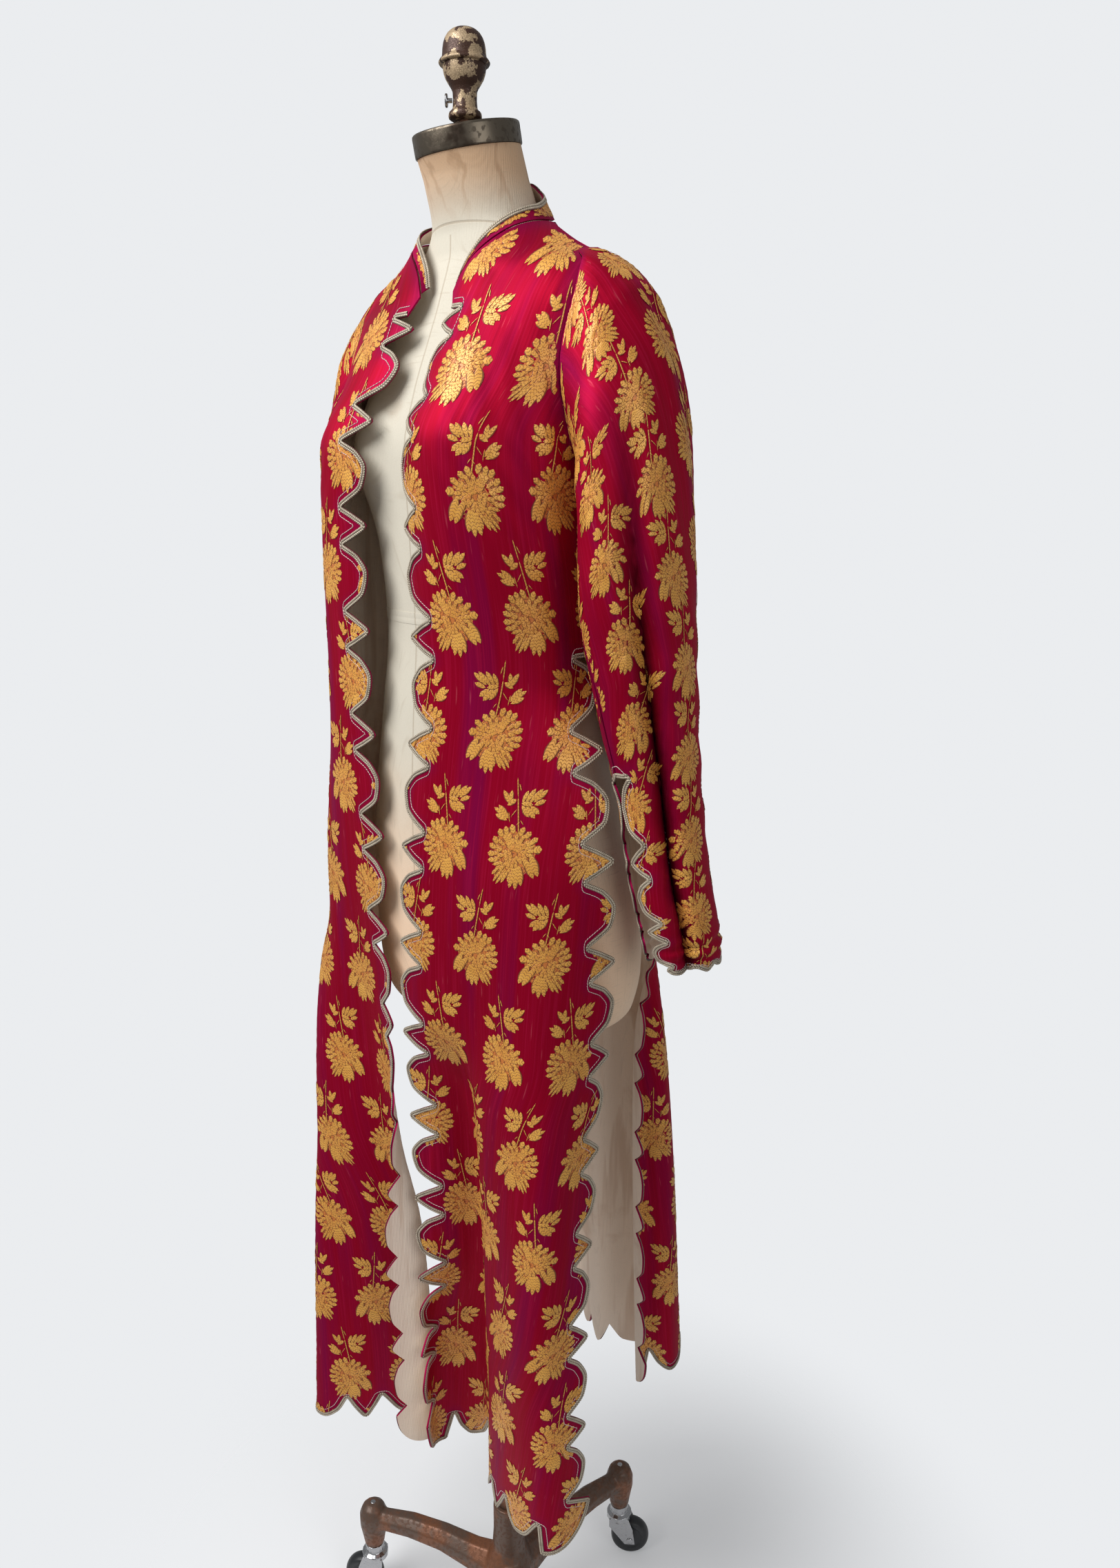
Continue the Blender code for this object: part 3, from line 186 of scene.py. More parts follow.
# In metres, ring by ring down the left arm: the inner side's x and z, the outer side's x and z, the middle's y,
# half the depth, and the share of it that the crease takes
SLEEVE = (
    (0.158, 1.394, 0.188, 1.580, 0.000, 0.062, 0.00),
    (0.157, 1.350, 0.213, 1.505, -0.002, 0.066, 0.06),
    (0.156, 1.290, 0.224, 1.390, -0.001, 0.066, 0.28),
    (0.160, 1.210, 0.229, 1.265, 0.009, 0.057, 0.48),
    (0.169, 1.120, 0.234, 1.140, 0.023, 0.045, 0.62),
    (0.177, 1.045, 0.241, 1.055, 0.031, 0.044, 0.66),
    (0.183, 0.995, 0.248, 1.000, 0.040, 0.042, 0.62),
    (0.184, 0.960, 0.246, 0.963, 0.048, 0.040, 0.50),
)

# In metres: height, half width, and the y of the front and of the back
FORM = (
    (0.872, 0.118, -0.078, 0.088),
    (0.877, 0.142, -0.094, 0.108),
    (0.890, 0.156, -0.104, 0.120),
    (0.930, 0.163, -0.111, 0.128),
    (1.000, 0.164, -0.115, 0.130),
    (1.100, 0.148, -0.116, 0.118),
    (1.200, 0.126, -0.111, 0.100),
    (1.278, 0.115, -0.105, 0.088),
    (1.360, 0.122, -0.109, 0.097),
    (1.447, 0.138, -0.112, 0.104),
    (1.500, 0.147, -0.099, 0.104),
    (1.546, 0.157, -0.081, 0.096),
    (1.573, 0.158, -0.070, 0.084),
    (1.595, 0.147, -0.062, 0.073),
    (1.610, 0.118, -0.0565, 0.062),
    (1.625, 0.088, -0.0525, 0.053),
    (1.6405, 0.0675, -0.052, 0.045),
    (1.655, 0.056, -0.055, 0.0405),
    (1.680, 0.0510, -0.064, 0.033),
    (1.700, 0.0485, -0.071, 0.0245),
    (1.7127, 0.0475, -0.075, 0.0198),
)

BACK_CENTRE_COLUMN = 6
SLEEVE_PITCH = 0.085
SLEEVE_GIRTH = 0.290
SLEEVE_SLIT_ROW = 3.7
SLEEVE_SLIT_PARTING = 0.05
SLEEVE_SEAM_TURN = math.radians(75)
SLEEVE_SLIT_GAP = 0.0012
SLEEVE_CROWN = 0.006
CREASE_ANGLE = math.radians(-38)
CREASE_SPREAD = 0.19
print("table rows:", [len(t) for t in (LEFT_FRONT, RIGHT_FRONT, BACK, SLEEVE, FORM)])

# %% [markdown]
# ## From the flat pattern to the hanging cloth
# Cloth bends but hardly stretches, so a pattern drawn flat keeps its true size when it is hung. The class
# below turns a table into that hanging shape. Between the rows it uses a curve that never swings past
# them, which keeps folds from bulging where nobody drew a bulge.

# %% Curves through a table
def distances(points):
    """How far along a line each of its points is."""
    return np.concatenate([[0.0], np.cumsum(np.linalg.norm(np.diff(points, axis=0), axis=1))])


def slopes(knots, values):
    """Slopes at a table's rows that never carry the curve past its own rows."""
    secants = np.diff(values, axis=0) / np.diff(knots)[:, None]
    found = np.zeros_like(values)
    found[0], found[-1] = secants[0], secants[-1]
    before, after = secants[:-1], secants[1:]
    same = before * after > 0
    found[1:-1] = np.where(same, 2 * before * after / np.where(same, before + after, 1.0), 0.0)
    return found


def smooth(knots, values, at):
    """A smooth value through a table's rows, kept level past its ends."""
    knots, values = np.asarray(knots, float), np.asarray(values, float)
    at = min(max(at, knots[0]), knots[-1])
    i = min(max(int(np.searchsorted(knots, at)) - 1, 0), len(knots) - 2)
    rise = slopes(knots, values)
    step = knots[i + 1] - knots[i]
    t = (at - knots[i]) / step
    near = values[i] * (2 * t**3 - 3 * t**2 + 1) + rise[i] * step * (t**3 - 2 * t**2 + t)
    return near + values[i + 1] * (3 * t**2 - 2 * t**3) + rise[i + 1] * step * (t**3 - t**2)


STEPS_PER_COLUMN = 16


def rounded_line(points):
    """A rounded curve in plan through a row's places."""
    marks = distances(points)
    headings = np.gradient(points, marks, axis=0)
    line = []
    for i in range(len(points) - 1):
        step = marks[i + 1] - marks[i]
        for t in np.arange(STEPS_PER_COLUMN) / STEPS_PER_COLUMN:
            near = points[i] * (2 * t**3 - 3 * t**2 + 1) + headings[i] * step * (t**3 - 2 * t**2 + t)
            far = points[i + 1] * (3 * t**2 - 2 * t**3) + headings[i + 1] * step * (t**3 - t**2)
            line.append(near + far)
    return np.array([*line, points[-1]])


# %% Panels
class Panel:
    """A cloth panel's lie: its section table, and the column that is the straight line of the pattern.

    The depths are the share of a notch's depth that is left on the lower part of the edge.
    """

    def __init__(self, table, straight_column, outward, front_depth=1.0, slit_depth=1.0):
        self.heights = [row[0] / 1000 for row in table]
        self.columns = np.array([row[1:] for row in table], float).reshape(len(table), -1) / 1000
        self.straight = straight_column * STEPS_PER_COLUMN
        self.outward = outward
        self.front_depth = front_depth
        self.slit_depth = slit_depth
        self.known = {}

    def section(self, z):
        """The cloth's line in plan at one height, and the run at each of its points."""
        z = round(z, 4)
        if z not in self.known:
            line = rounded_line(smooth(self.heights, self.columns, z).reshape(-1, 2))
            run = distances(line)
            self.known[z] = line, run - run[self.straight]
        return self.known[z]

    def at_side(self, z, inset, far):
        """The run a little way in from the near or the far side, at one height."""
        runs = self.section(z)[1]
        return runs[-1] - inset if far else runs[0] + inset

    def across(self, z, share):
        """The run at a share of the panel's width, at one height."""
        runs = self.section(z)[1]
        return runs[0] + (runs[-1] - runs[0]) * share

    def place(self, run, z):
        """The point of the cloth at a distance along it and a height."""
        line, runs = self.section(z)
        if run < runs[0]:
            x, y = line[0] + (line[1] - line[0]) / (runs[1] - runs[0]) * (run - runs[0])
        elif run > runs[-1]:
            x, y = line[-1] + (line[-1] - line[-2]) / (runs[-1] - runs[-2]) * (run - runs[-1])
        else:
            x, y = (np.interp(run, runs, line[:, axis]) for axis in (0, 1))
        return np.array((x, y, z))


left_front = Panel(LEFT_FRONT, 0, 1, slit_depth=0.7)
right_front = Panel(RIGHT_FRONT, 0, -1, front_depth=0.45)
back = Panel(BACK, BACK_CENTRE_COLUMN, 1, slit_depth=0.55)
for name, panel in (("left front", left_front), ("right front", right_front), ("back", back)):
    print(name, "is", round(panel.at_side(HEM_Z, 0, True) - panel.at_side(HEM_Z, 0, False), 3), "m wide at the hem")

# %% [markdown]
# ## The scalloped edge
# The real edge is cut in broad lobes and narrow ones by turns, with a sharp notch between each two. A
# curve drawn point by point would drift from the frame, so a lobe here is one short list of rises, made
# smooth, and stretched over each lobe's length.

# %% Scallops
BROAD_RISES = ((0.0, 0.0), (0.17, 0.66), (0.42, 1.0), (0.70, 0.86), (1.0, 0.0))
NARROW_RISES = ((0.0, 0.0), (0.24, 0.58), (0.50, 1.0), (0.76, 0.58), (1.0, 0.0))
LOBE_STEP = 0.0042
# A lobe's edge is about this much longer than the lobe. Its points' spacing mixes a crowded one and an even one
LOBE_FULLNESS, CROWDED, EVEN = 1.9, 0.55, 0.45


def lobe_points(size, rises):
    """Shares of a lobe's length with the rise at each, closer where the edge is steep."""
    knots, values = zip(*rises)
    values = [[v] for v in values]
    count = max(6, round(size * LOBE_FULLNESS / LOBE_STEP))
    shares = (1 - np.cos(np.linspace(0, math.pi, count, endpoint=False))) / 2 * CROWDED
    shares = shares + np.linspace(0, 1, count, endpoint=False) * EVEN
    return [(s, float(smooth(knots, values, s)[0])) for s in shares]


def scallops(start, end, depth=NOTCH_DEPTH, broad=BROAD_LOBE, narrow=NARROW_LOBE, narrow_first=False):
    """(along, inset) points of a scalloped edge that starts and ends in a notch."""
    length = abs(end - start)
    lone = 0 if narrow_first else broad
    pairs = max(1, round((length - lone) / (broad + narrow)))
    sizes = [narrow, broad] * pairs if narrow_first else [broad, narrow] * pairs + [broad]
    scale = (end - start) / sum(sizes)
    points, at = [], start
    for size in sizes:
        for share, rise in lobe_points(size, BROAD_RISES if size == broad else NARROW_RISES):
            points.append((at + size * scale * share, depth * (1 - rise)))
        at += size * scale
    points.append((end, depth))
    return points


# The front edge is this much longer than its height, most of it within the fade's length of the neck
CHEST_SLACK, CHEST_FADE = 0.045, 0.12
# A foot lobe turns through nearly a right angle, and a power under 1 makes it squarer than an oval
FOOT_TURN, FOOT_ROUNDNESS = (0.06, 0.95), 0.75


def worn(z, depth):
    """The share of a notch's depth at a height: whole above the hip, and the panel's own share below it."""
    return smooth(LOW_NOTCHES, [[depth], [1.0]], z)[0]


def front_edge(start, end, depth):
    """The front edge's scallops, drawn closer together at the top, where the chest slopes back."""
    span = start - end + CHEST_SLACK
    points = []
    for along, inset in scallops(0.0, span, narrow_first=True):
        z = start - along + CHEST_SLACK * (1 - math.exp(-along / CHEST_FADE))
        points.append((inset * worn(z, depth), max(z, end)))
    return points


def foot_lobe(corner_run, way):
    """The rounded lobe at a panel's lower corner, from the edge's last notch to the hem's first."""
    arc = []
    for turn in np.linspace(*FOOT_TURN, 16):
        angle = turn * math.pi / 2
        arc.append((corner_run + way * FOOT_LOBE * (1 - math.cos(angle) ** FOOT_ROUNDNESS),
                    HEM_Z - TAIL + (FOOT_LOBE + TAIL) * (1 - math.sin(angle) ** FOOT_ROUNDNESS)))
    return arc if way > 0 else arc[::-1]


# %% Outlines of the fronts and the back
ARMHOLE_POINTS, ARMHOLE_ROUNDNESS = 46, 0.7


def armhole_line(panel, far):
    """A panel's armhole from the underarm up to the shoulder tip."""
    line = []
    for turn in np.linspace(0, math.pi, ARMHOLE_POINTS):
        z = UNDERARM_Z + (SHOULDER_TIP_Z - UNDERARM_Z) * (1 - math.cos(turn)) / 2
        bite = ARMHOLE_DEPTH * max(math.sin(turn), 0.0) ** ARMHOLE_ROUNDNESS
        line.append((panel.at_side(z, SEAM_GAP + bite, far), z))
    return line


def upper_side(panel, far):
    """A panel's side above the slit: the side seam, the armhole and the shoulder seam."""
    seam = [(panel.at_side(z, SEAM_GAP, far), z) for z in np.linspace(SLIT_TOP_Z, UNDERARM_Z, 25)[1:-1]]
    shoulder = [(panel.at_side(z, SEAM_GAP, far), z) for z in np.linspace(SHOULDER_TIP_Z, NECK_POINT_Z, 12)[1:]]
    return seam + armhole_line(panel, far) + shoulder


def slit_side(panel, far):
    """A slit's scalloped side, from its top down to the foot lobe."""
    points = scallops(SLIT_TOP_Z, HEM_Z + FOOT_LOBE)
    side = [(panel.at_side(z, inset * worn(z, panel.slit_depth) + SEAM_GAP, far), z) for z, inset in points]
    side[0] = (panel.at_side(SLIT_TOP_Z, SEAM_GAP, far), SLIT_TOP_Z)
    return side


def lower_outline(panel, top):
    """The scalloped stretch of a panel: near side, foot lobes, hem and far slit."""
    near, far = panel.at_side(HEM_Z, 0, False), panel.at_side(HEM_Z, 0, True)
    hem = [(run, HEM_Z + inset) for run, inset in scallops(near + FOOT_LOBE, far - FOOT_LOBE)]
    return top + foot_lobe(near, 1) + hem + foot_lobe(far, -1) + slit_side(panel, True)[::-1]


def neckline_place(panel, turn):
    """Run and height on a front's neckline, where turn is 1 at the shoulder and 0 at the front edge."""
    angle = turn * math.pi / 2
    return (panel.at_side(NECK_POINT_Z, 0, True) * (1 - math.cos(angle)),
            NECK_NOTCH_Z + (NECK_POINT_Z - NECK_NOTCH_Z) * math.sin(angle))


def back_neck_height(share):
    """The height of the back's neckline at a share of its width."""
    return NECK_POINT_Z + (BACK_NECK_Z - NECK_POINT_Z) * math.sin(math.pi * share)


def front_outline(panel):
    """The flat outline of a front, and how many of its first points have braid."""
    trimmed = lower_outline(panel, front_edge(NECK_NOTCH_Z, HEM_Z + FOOT_LOBE, panel.front_depth))
    trimmed[0] = (NECK_NOTCH_INSET, NECK_NOTCH_Z)
    neckline = [neckline_place(panel, turn) for turn in np.linspace(1, NECK_CORNER_TURN, 31)[1:]]
    return trimmed + upper_side(panel, True) + neckline, len(trimmed)


def back_outline(panel):
    """The back's flat outline, from its left slit round by the hem, and how many of its first points have braid."""
    trimmed = lower_outline(panel, slit_side(panel, False))
    heights = [(share, back_neck_height(share)) for share in np.linspace(1, 0, 40)[1:-1]]
    top = [(panel.across(z, share), z) for share, z in heights]
    return trimmed + upper_side(panel, True) + top + upper_side(panel, False)[::-1], len(trimmed)


print("outline points:", len(front_outline(left_front)[0]), len(front_outline(right_front)[0]),
      len(back_outline(back)[0]))

# %% [markdown]
# ## Filling an outline
# A sheet bends freely only if its triangles are small and even, so the outline is filled with staggered
# rows of points 7 mm apart, joined by a constrained Delaunay triangulation. That keeps the cut edge
# exactly as drawn, which a voxel remesh or a grid would round away.

# %% Points in a loop
GRID = 0.007
# How far apart the rows are, and how much room they leave beside the edge, as shares of the grid's step
ROW_SHARE, RIM_SHARE = 0.9, 0.55


def inside(points, loop):
    """Which points lie in a closed loop."""
    x, y = points[:, 0], points[:, 1]
    found = np.zeros(len(points), bool)
    for (x0, y0), (x1, y1) in zip(loop, np.roll(loop, -1, axis=0)):
        if y0 != y1:
            found ^= ((y0 > y) != (y1 > y)) & (x < (x1 - x0) * (y - y0) / (y1 - y0) + x0)
    return found


def dense(loop, step):
    """Points no further apart than step along a closed loop."""
    points = []
    for a, b in zip(loop, np.roll(loop, -1, axis=0)):
        count = max(1, math.ceil(np.linalg.norm(b - a) / step))
        points += [a + (b - a) * k / count for k in range(count)]
    return np.array(points)


def edge_distance(points, loop, step=0.001):
    """How far each point is from a closed loop."""
    spots = dense(loop, step)
    tree = KDTree(len(spots))
    for i, spot in enumerate(spots):
        tree.insert((*spot, 0), i)
    tree.balance()
    return np.array([tree.find((*p, 0))[2] for p in points])


def fill(outline, step=GRID):
    """Flat points and triangles that fill an outline. The outline's own points come first."""
    rim = np.array(outline, float)
    low, high = rim.min(axis=0), rim.max(axis=0)
    rows = []
    for n, z in enumerate(np.arange(low[1] + step / 2, high[1], step * ROW_SHARE)):
        runs = np.arange(low[0] + (n % 2) * step / 2, high[0], step)
        rows.append(np.stack([runs, np.full(len(runs), z)], axis=1))
    grid = np.concatenate(rows)
    grid = grid[inside(grid, rim)]
    grid = grid[edge_distance(grid, rim) > RIM_SHARE * step]
    count = len(rim)
    borders = [(i, (i + 1) % count) for i in range(count)]
    flat = np.concatenate([rim, grid])
    spots, _, faces, *_ = delaunay_2d_cdt([Vector(p) for p in flat], borders, [list(range(count))], 1, 1e-7)
    if len(spots) != len(flat):
        raise ValueError(f"an outline crosses itself: {len(flat)} points became {len(spots)}")
    return flat, np.array(faces), count


test_flat, test_faces, _ = fill(front_outline(left_front)[0])
print("left front:", len(test_flat), "points,", len(test_faces), "triangles")

# %% [markdown]
# ## A sheet of cloth
# Everything sewn to the coat has to follow its folds. The sheet below remembers where each flat point
# hangs, so a braid, a stitch or a woven petal can be drawn on the flat pattern and laid on the cloth. The
# flat triangles are searched for the one that holds the point, and its three corners carry the point along.

# %% The sheet
class Sheet:
    """Cloth that is known both flat, as run and height, and hanging, in metres."""

    def __init__(self, outline, place, outward, ripple, step=GRID):
        self.flat, self.faces, self.count = fill(outline, step)
        self.turned = outward < 0
        if self.turned:
            self.faces = self.faces[:, ::-1]
        self.place = place
        self.rim = self.flat[:self.count]
        self.pattern = self.flat
        self.spots = np.array([place(*p) for p in self.flat])
        self.normals = self.measure_normals()
        self.spots = self.spots + self.normals * ripple(self.flat, self.spots)[:, None]
        self.normals = self.measure_normals()
        self.tree = BVHTree.FromPolygons([(*p, 0.0) for p in self.flat], self.faces.tolist())

    def measure_normals(self):
        """The cloth's direction at each point: the sum of its triangles' own, larger ones counting more."""
        a, b, c = (self.spots[self.faces[:, k]] for k in range(3))
        across = np.cross(b - a, c - a)
        total = np.zeros_like(self.spots)
        for k in range(3):
            np.add.at(total, self.faces[:, k], across)
        return total / np.maximum(np.linalg.norm(total, axis=1), 1e-12)[:, None]

    def lay(self, points, lift=0.0):
        """Where flat points hang, on the outer face of the cloth, and the cloth's direction there."""
        hits = [self.tree.find_nearest((*p, 0.0)) for p in points]
        near = np.array([h[0][:2] for h in hits])
        corners = self.faces[[h[2] for h in hits]]
        a, b, c = (self.flat[corners[:, k]] for k in range(3))
        area = (b[:, 0] - a[:, 0]) * (c[:, 1] - a[:, 1]) - (b[:, 1] - a[:, 1]) * (c[:, 0] - a[:, 0])
        wb = ((near[:, 0] - a[:, 0]) * (c[:, 1] - a[:, 1]) - (near[:, 1] - a[:, 1]) * (c[:, 0] - a[:, 0])) / area
        wc = ((b[:, 0] - a[:, 0]) * (near[:, 1] - a[:, 1]) - (b[:, 1] - a[:, 1]) * (near[:, 0] - a[:, 0])) / area
        weights = np.stack([1 - wb - wc, wb, wc], axis=1)[:, :, None]
        spots = (self.spots[corners] * weights).sum(axis=1)
        normals = (self.normals[corners] * weights).sum(axis=1)
        normals /= np.linalg.norm(normals, axis=1)[:, None]
        return spots + normals * (CLOTH / 2 + np.asarray(lift)).reshape(-1, 1), normals


# %% A mesh in the frame's place
def make_mesh(name, points, faces, materials, face_material=None, uv=None, numbers=None, smooth_angle=50):
    """A mesh object in the frame's place. uv holds one pair per point, and numbers one value per point."""
    mesh = bpy.data.meshes.new(name)
    points = np.asarray(points, float) + CENTRE
    mesh.from_pydata(points.tolist(), [], [tuple(int(i) for i in f) for f in faces])
    for material in materials:
        mesh.materials.append(material)
    if face_material is not None:
        mesh.polygons.foreach_set("material_index", np.asarray(face_material, np.int32))
    if uv is not None:
        layer = mesh.uv_layers.new(name="pattern")
        corners = np.zeros(len(mesh.loops), np.int32)
        mesh.loops.foreach_get("vertex_index", corners)
        layer.data.foreach_set("uv", np.asarray(uv, np.float32)[corners].ravel())
    for key, values in (numbers or {}).items():
        layer = mesh.attributes.new(key, "FLOAT", "POINT")
        layer.data.foreach_set("value", np.asarray(values, np.float32))
    mesh.shade_smooth()
    mesh.set_sharp_from_angle(angle=math.radians(smooth_angle))
    return link_object(name, mesh)


def place_piece(piece, body, slot, *nodes):
    """Seats a finished piece: the body it moves with, and the nodes it stands for. The slot is not used."""
    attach(piece, body)
    if nodes:
        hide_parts(*nodes)
    return piece


EDGE_BAND = 0.014


def cloth_object(name, sheet, materials, crease=None):
    """The sheet as a closed wall: silk outside, lining inside, and the cut edge between them."""
    outer = sheet.spots + sheet.normals * CLOTH / 2
    lining = sheet.spots - sheet.normals * CLOTH / 2
    size, faces = len(outer), sheet.faces.tolist()
    walls = []
    for i in range(sheet.count):
        j = (i + 1) % sheet.count
        walls.append((i, j, j + size, i + size) if sheet.turned else (j, i, i + size, j + size))
    inner = [(c + size, b + size, a + size) for a, b, c in faces]
    kinds = [0] * len(faces) + [1] * len(inner) + [0] * len(walls)
    uv = np.concatenate([sheet.pattern, sheet.pattern])
    near = 1 - np.clip(edge_distance(sheet.flat, sheet.rim) / EDGE_BAND, 0, 1)
    # The crease mask marks where the silk paints the shade of the sleeve's fold
    return make_mesh(name, np.concatenate([outer, lining]), faces + inner + walls, materials, kinds, uv,
                     {"edge": np.concatenate([near, near]),
                      "crease": np.tile(np.zeros(size) if crease is None else crease, 2)})

# %% [markdown]
# ## Finishes
# A finish is made from nodes, never one flat colour. Three effects are used in more than one material,
# so each is a node group that is built once: woven threads, soft blotches such as stains and rust, and
# fine streaks along one direction. The groups put out only masks and heights, and every material keeps
# its own shader, where numbers such as sheen stay on the shader's own sockets.

# %% Node helpers
def feed(tree, socket, value):
    """Links another node's output to a socket, or sets the socket to a plain value."""
    if isinstance(value, bpy.types.NodeSocket):
        tree.links.new(value, socket)
    else:
        socket.default_value = value


def add(tree, kind, settings=(), **inputs):
    """A node with its settings and its inputs. An input is given by name, or as i and its number."""
    made = tree.nodes.new(kind)
    for key, value in dict(settings).items():
        setattr(made, key, value)
    for key, value in inputs.items():
        numbered = key[0] == "i" and key[1:].isdigit()
        feed(tree, made.inputs[int(key[1:]) if numbered else key.replace("_", " ")], value)
    return made


def math_node(tree, operation, *values, clamp=False):
    """A sum or the like of values and other nodes' outputs."""
    made = tree.nodes.new("ShaderNodeMath")
    made.operation, made.use_clamp = operation, clamp
    for socket, value in zip(made.inputs, values):
        feed(tree, socket, value)
    return made.outputs[0]


def times(tree, a, b):
    return math_node(tree, "MULTIPLY", a, b)


def minus(tree, a, b):
    return math_node(tree, "SUBTRACT", a, b)


def size_of(tree, value):
    """A value without its sign."""
    return math_node(tree, "ABSOLUTE", value)


def mix_colour(tree, factor, a, b):
    """The first colour where the factor is 0, and the second where it is 1."""
    made = tree.nodes.new("ShaderNodeMix")
    made.data_type = "RGBA"
    feed(tree, made.inputs[0], factor)
    for socket, colour in ((made.inputs[6], a), (made.inputs[7], b)):
        feed(tree, socket, colour if isinstance(colour, bpy.types.NodeSocket) else (*colour, 1.0))
    return made.outputs[2]


def tint(tree, ground, mask, share, colour):
    """The ground with a colour laid over it where the mask is, and no stronger than the share."""
    return mix_colour(tree, times(tree, mask, share), ground, colour)


def darker(colour, share):
    return tuple(part * share for part in colour)


def object_place(tree):
    """Where a point is in the object's own metres."""
    return add(tree, "ShaderNodeTexCoord").outputs["Object"]


def flat_place(tree):
    """Where a point is on the cloth's flat pattern, or on a petal."""
    return add(tree, "ShaderNodeUVMap", {"uv_map": "pattern"}).outputs[0]


def mark(tree, name):
    """A value that the mesh keeps for each of its points."""
    return add(tree, "ShaderNodeAttribute", {"attribute_name": name}).outputs["Fac"]


def ramp(tree, value, low, high):
    """0 below low, 1 above high, and smooth between."""
    return add(tree, "ShaderNodeMapRange", {"interpolation_type": "SMOOTHSTEP"}, Value=value, From_Min=low,
               From_Max=high).outputs[0]


def stretched(tree, vector, scale):
    """Coordinates multiplied by a number for each axis, which stretches or squeezes a pattern on them."""
    return add(tree, "ShaderNodeVectorMath", {"operation": "MULTIPLY"}, i0=vector, i1=scale).outputs[0]


def noise(tree, vector, scale=1.0, detail=2.0, roughness=0.5):
    """Cloudy values about a half. The scale is in clouds per metre."""
    return add(tree, "ShaderNodeTexNoise", (), Vector=vector, Scale=scale, Detail=detail,
               Roughness=roughness).outputs["Fac"]


def new_group(name, inputs, outputs):
    """An empty shader node group with its sockets. Inputs are name, kind and value."""
    group = bpy.data.node_groups.new(name, "ShaderNodeTree")
    for title, kind, value in inputs:
        socket = group.interface.new_socket(title, in_out="INPUT", socket_type=kind)
        if value is not None:
            socket.default_value = value
    for title, kind in outputs:
        group.interface.new_socket(title, in_out="OUTPUT", socket_type=kind)
    return group, group.nodes.new("NodeGroupInput").outputs, group.nodes.new("NodeGroupOutput").inputs


# %% Shared effects
def make_weave_group():
    """Plain woven threads: a height, and a mask of the odd thicker threads."""
    group, given, out = new_group("woven threads", [
        ("Vector", "NodeSocketVector", None), ("Threads per metre", "NodeSocketFloat", 1400.0),
        ("Slub", "NodeSocketFloat", 0.35)], [("Height", "NodeSocketFloat"), ("Slubs", "NodeSocketFloat")])
    parts = add(group, "ShaderNodeSeparateXYZ", (), Vector=given["Vector"])
    around = times(group, given["Threads per metre"], math.pi)
    crossing = times(group, *(math_node(group, "SINE", times(group, parts.outputs[k], around)) for k in (0, 1)))
    warp = noise(group, stretched(group, given["Vector"], (900.0, 30.0, 900.0)), detail=1.0)
    weft = noise(group, stretched(group, given["Vector"], (30.0, 900.0, 30.0)), detail=1.0)
    slubs = ramp(group, math_node(group, "MAXIMUM", warp, weft), 0.58, 0.76)
    group.links.new(math_node(group, "MULTIPLY_ADD", slubs, given["Slub"], crossing), out["Height"])
    group.links.new(slubs, out["Slubs"])
    return group


def make_blotch_group():
    """Soft uneven patches, for stains, fading and rust: a broad mask and a speckled one."""
    group, given, out = new_group("soft blotches", [
        ("Vector", "NodeSocketVector", None), ("Patches per metre", "NodeSocketFloat", 9.0),
        ("Cover", "NodeSocketFloat", 0.5), ("Softness", "NodeSocketFloat", 0.12)],
        [("Patches", "NodeSocketFloat"), ("Specks", "NodeSocketFloat")])
    broad = noise(group, given["Vector"], given["Patches per metre"], 5.0, 0.62)
    fine = noise(group, given["Vector"], times(group, given["Patches per metre"], 14.0), 3.0)
    edge = minus(group, 1.0, given["Cover"])
    full = math_node(group, "ADD", edge, given["Softness"])
    for source, title in ((broad, "Patches"), (fine, "Specks")):
        group.links.new(ramp(group, source, edge, full), out[title])
    return group


def make_streak_group():
    """Long streaks along the second coordinate, as in satin warp: broad ones, fine ones and rare pale ones."""
    group, given, out = new_group("long streaks", [
        ("Vector", "NodeSocketVector", None), ("Width", "NodeSocketFloat", 60.0), ("Run", "NodeSocketFloat", 2.5)],
        [("Broad", "NodeSocketFloat"), ("Fine", "NodeSocketFloat"), ("Pale", "NodeSocketFloat")])

    def streak(wide, long, detail):
        scale = add(group, "ShaderNodeCombineXYZ", (), X=times(group, given["Width"], wide),
                    Y=times(group, given["Run"], long), Z=1.0).outputs[0]
        return noise(group, stretched(group, given["Vector"], scale), detail=detail)

    group.links.new(streak(1.0, 1.0, 3.0), out["Broad"])
    group.links.new(streak(22.0, 7.0, 2.0), out["Fine"])
    group.links.new(ramp(group, streak(14.0, 24.0, 1.0), 0.68, 0.80), out["Pale"])
    return group


WEAVE, BLOTCHES, STREAKS = make_weave_group(), make_blotch_group(), make_streak_group()


def use_group(tree, group, **inputs):
    """A shared effect placed in a material with the material's own values."""
    made = tree.nodes.new("ShaderNodeGroup")
    made.node_tree = group
    for key, value in inputs.items():
        feed(tree, made.inputs[key.replace("_", " ")], value)
    return made.outputs


def new_material(name, **values):
    """A material with its shader's plain values set, and its tree and shader."""
    material = bpy.data.materials.new(name)
    material.use_nodes = True
    tree = material.node_tree
    shader = tree.nodes["Principled BSDF"]
    for key, value in values.items():
        shader.inputs[key.replace("_", " ")].default_value = value
    return material, tree, shader


def finish_with(tree, shader, colour, roughness=None, height=None, distance=0.0002, strength=1.0):
    """Links a colour, a roughness and a height to the shader."""
    tree.links.new(colour, shader.inputs["Base Color"])
    if roughness is not None:
        tree.links.new(roughness, shader.inputs["Roughness"])
    if height is not None:
        bump = add(tree, "ShaderNodeBump", (), Strength=strength, Distance=distance, Height=height)
        tree.links.new(bump.outputs[0], shader.inputs["Normal"])


def between(tree, value, low, high):
    """A value from 0 to 1, moved to run from low to high."""
    return add(tree, "ShaderNodeMapRange", (), Value=value, To_Min=low, To_Max=high).outputs[0]


print("shared effects:", [g.name for g in (WEAVE, BLOTCHES, STREAKS)])

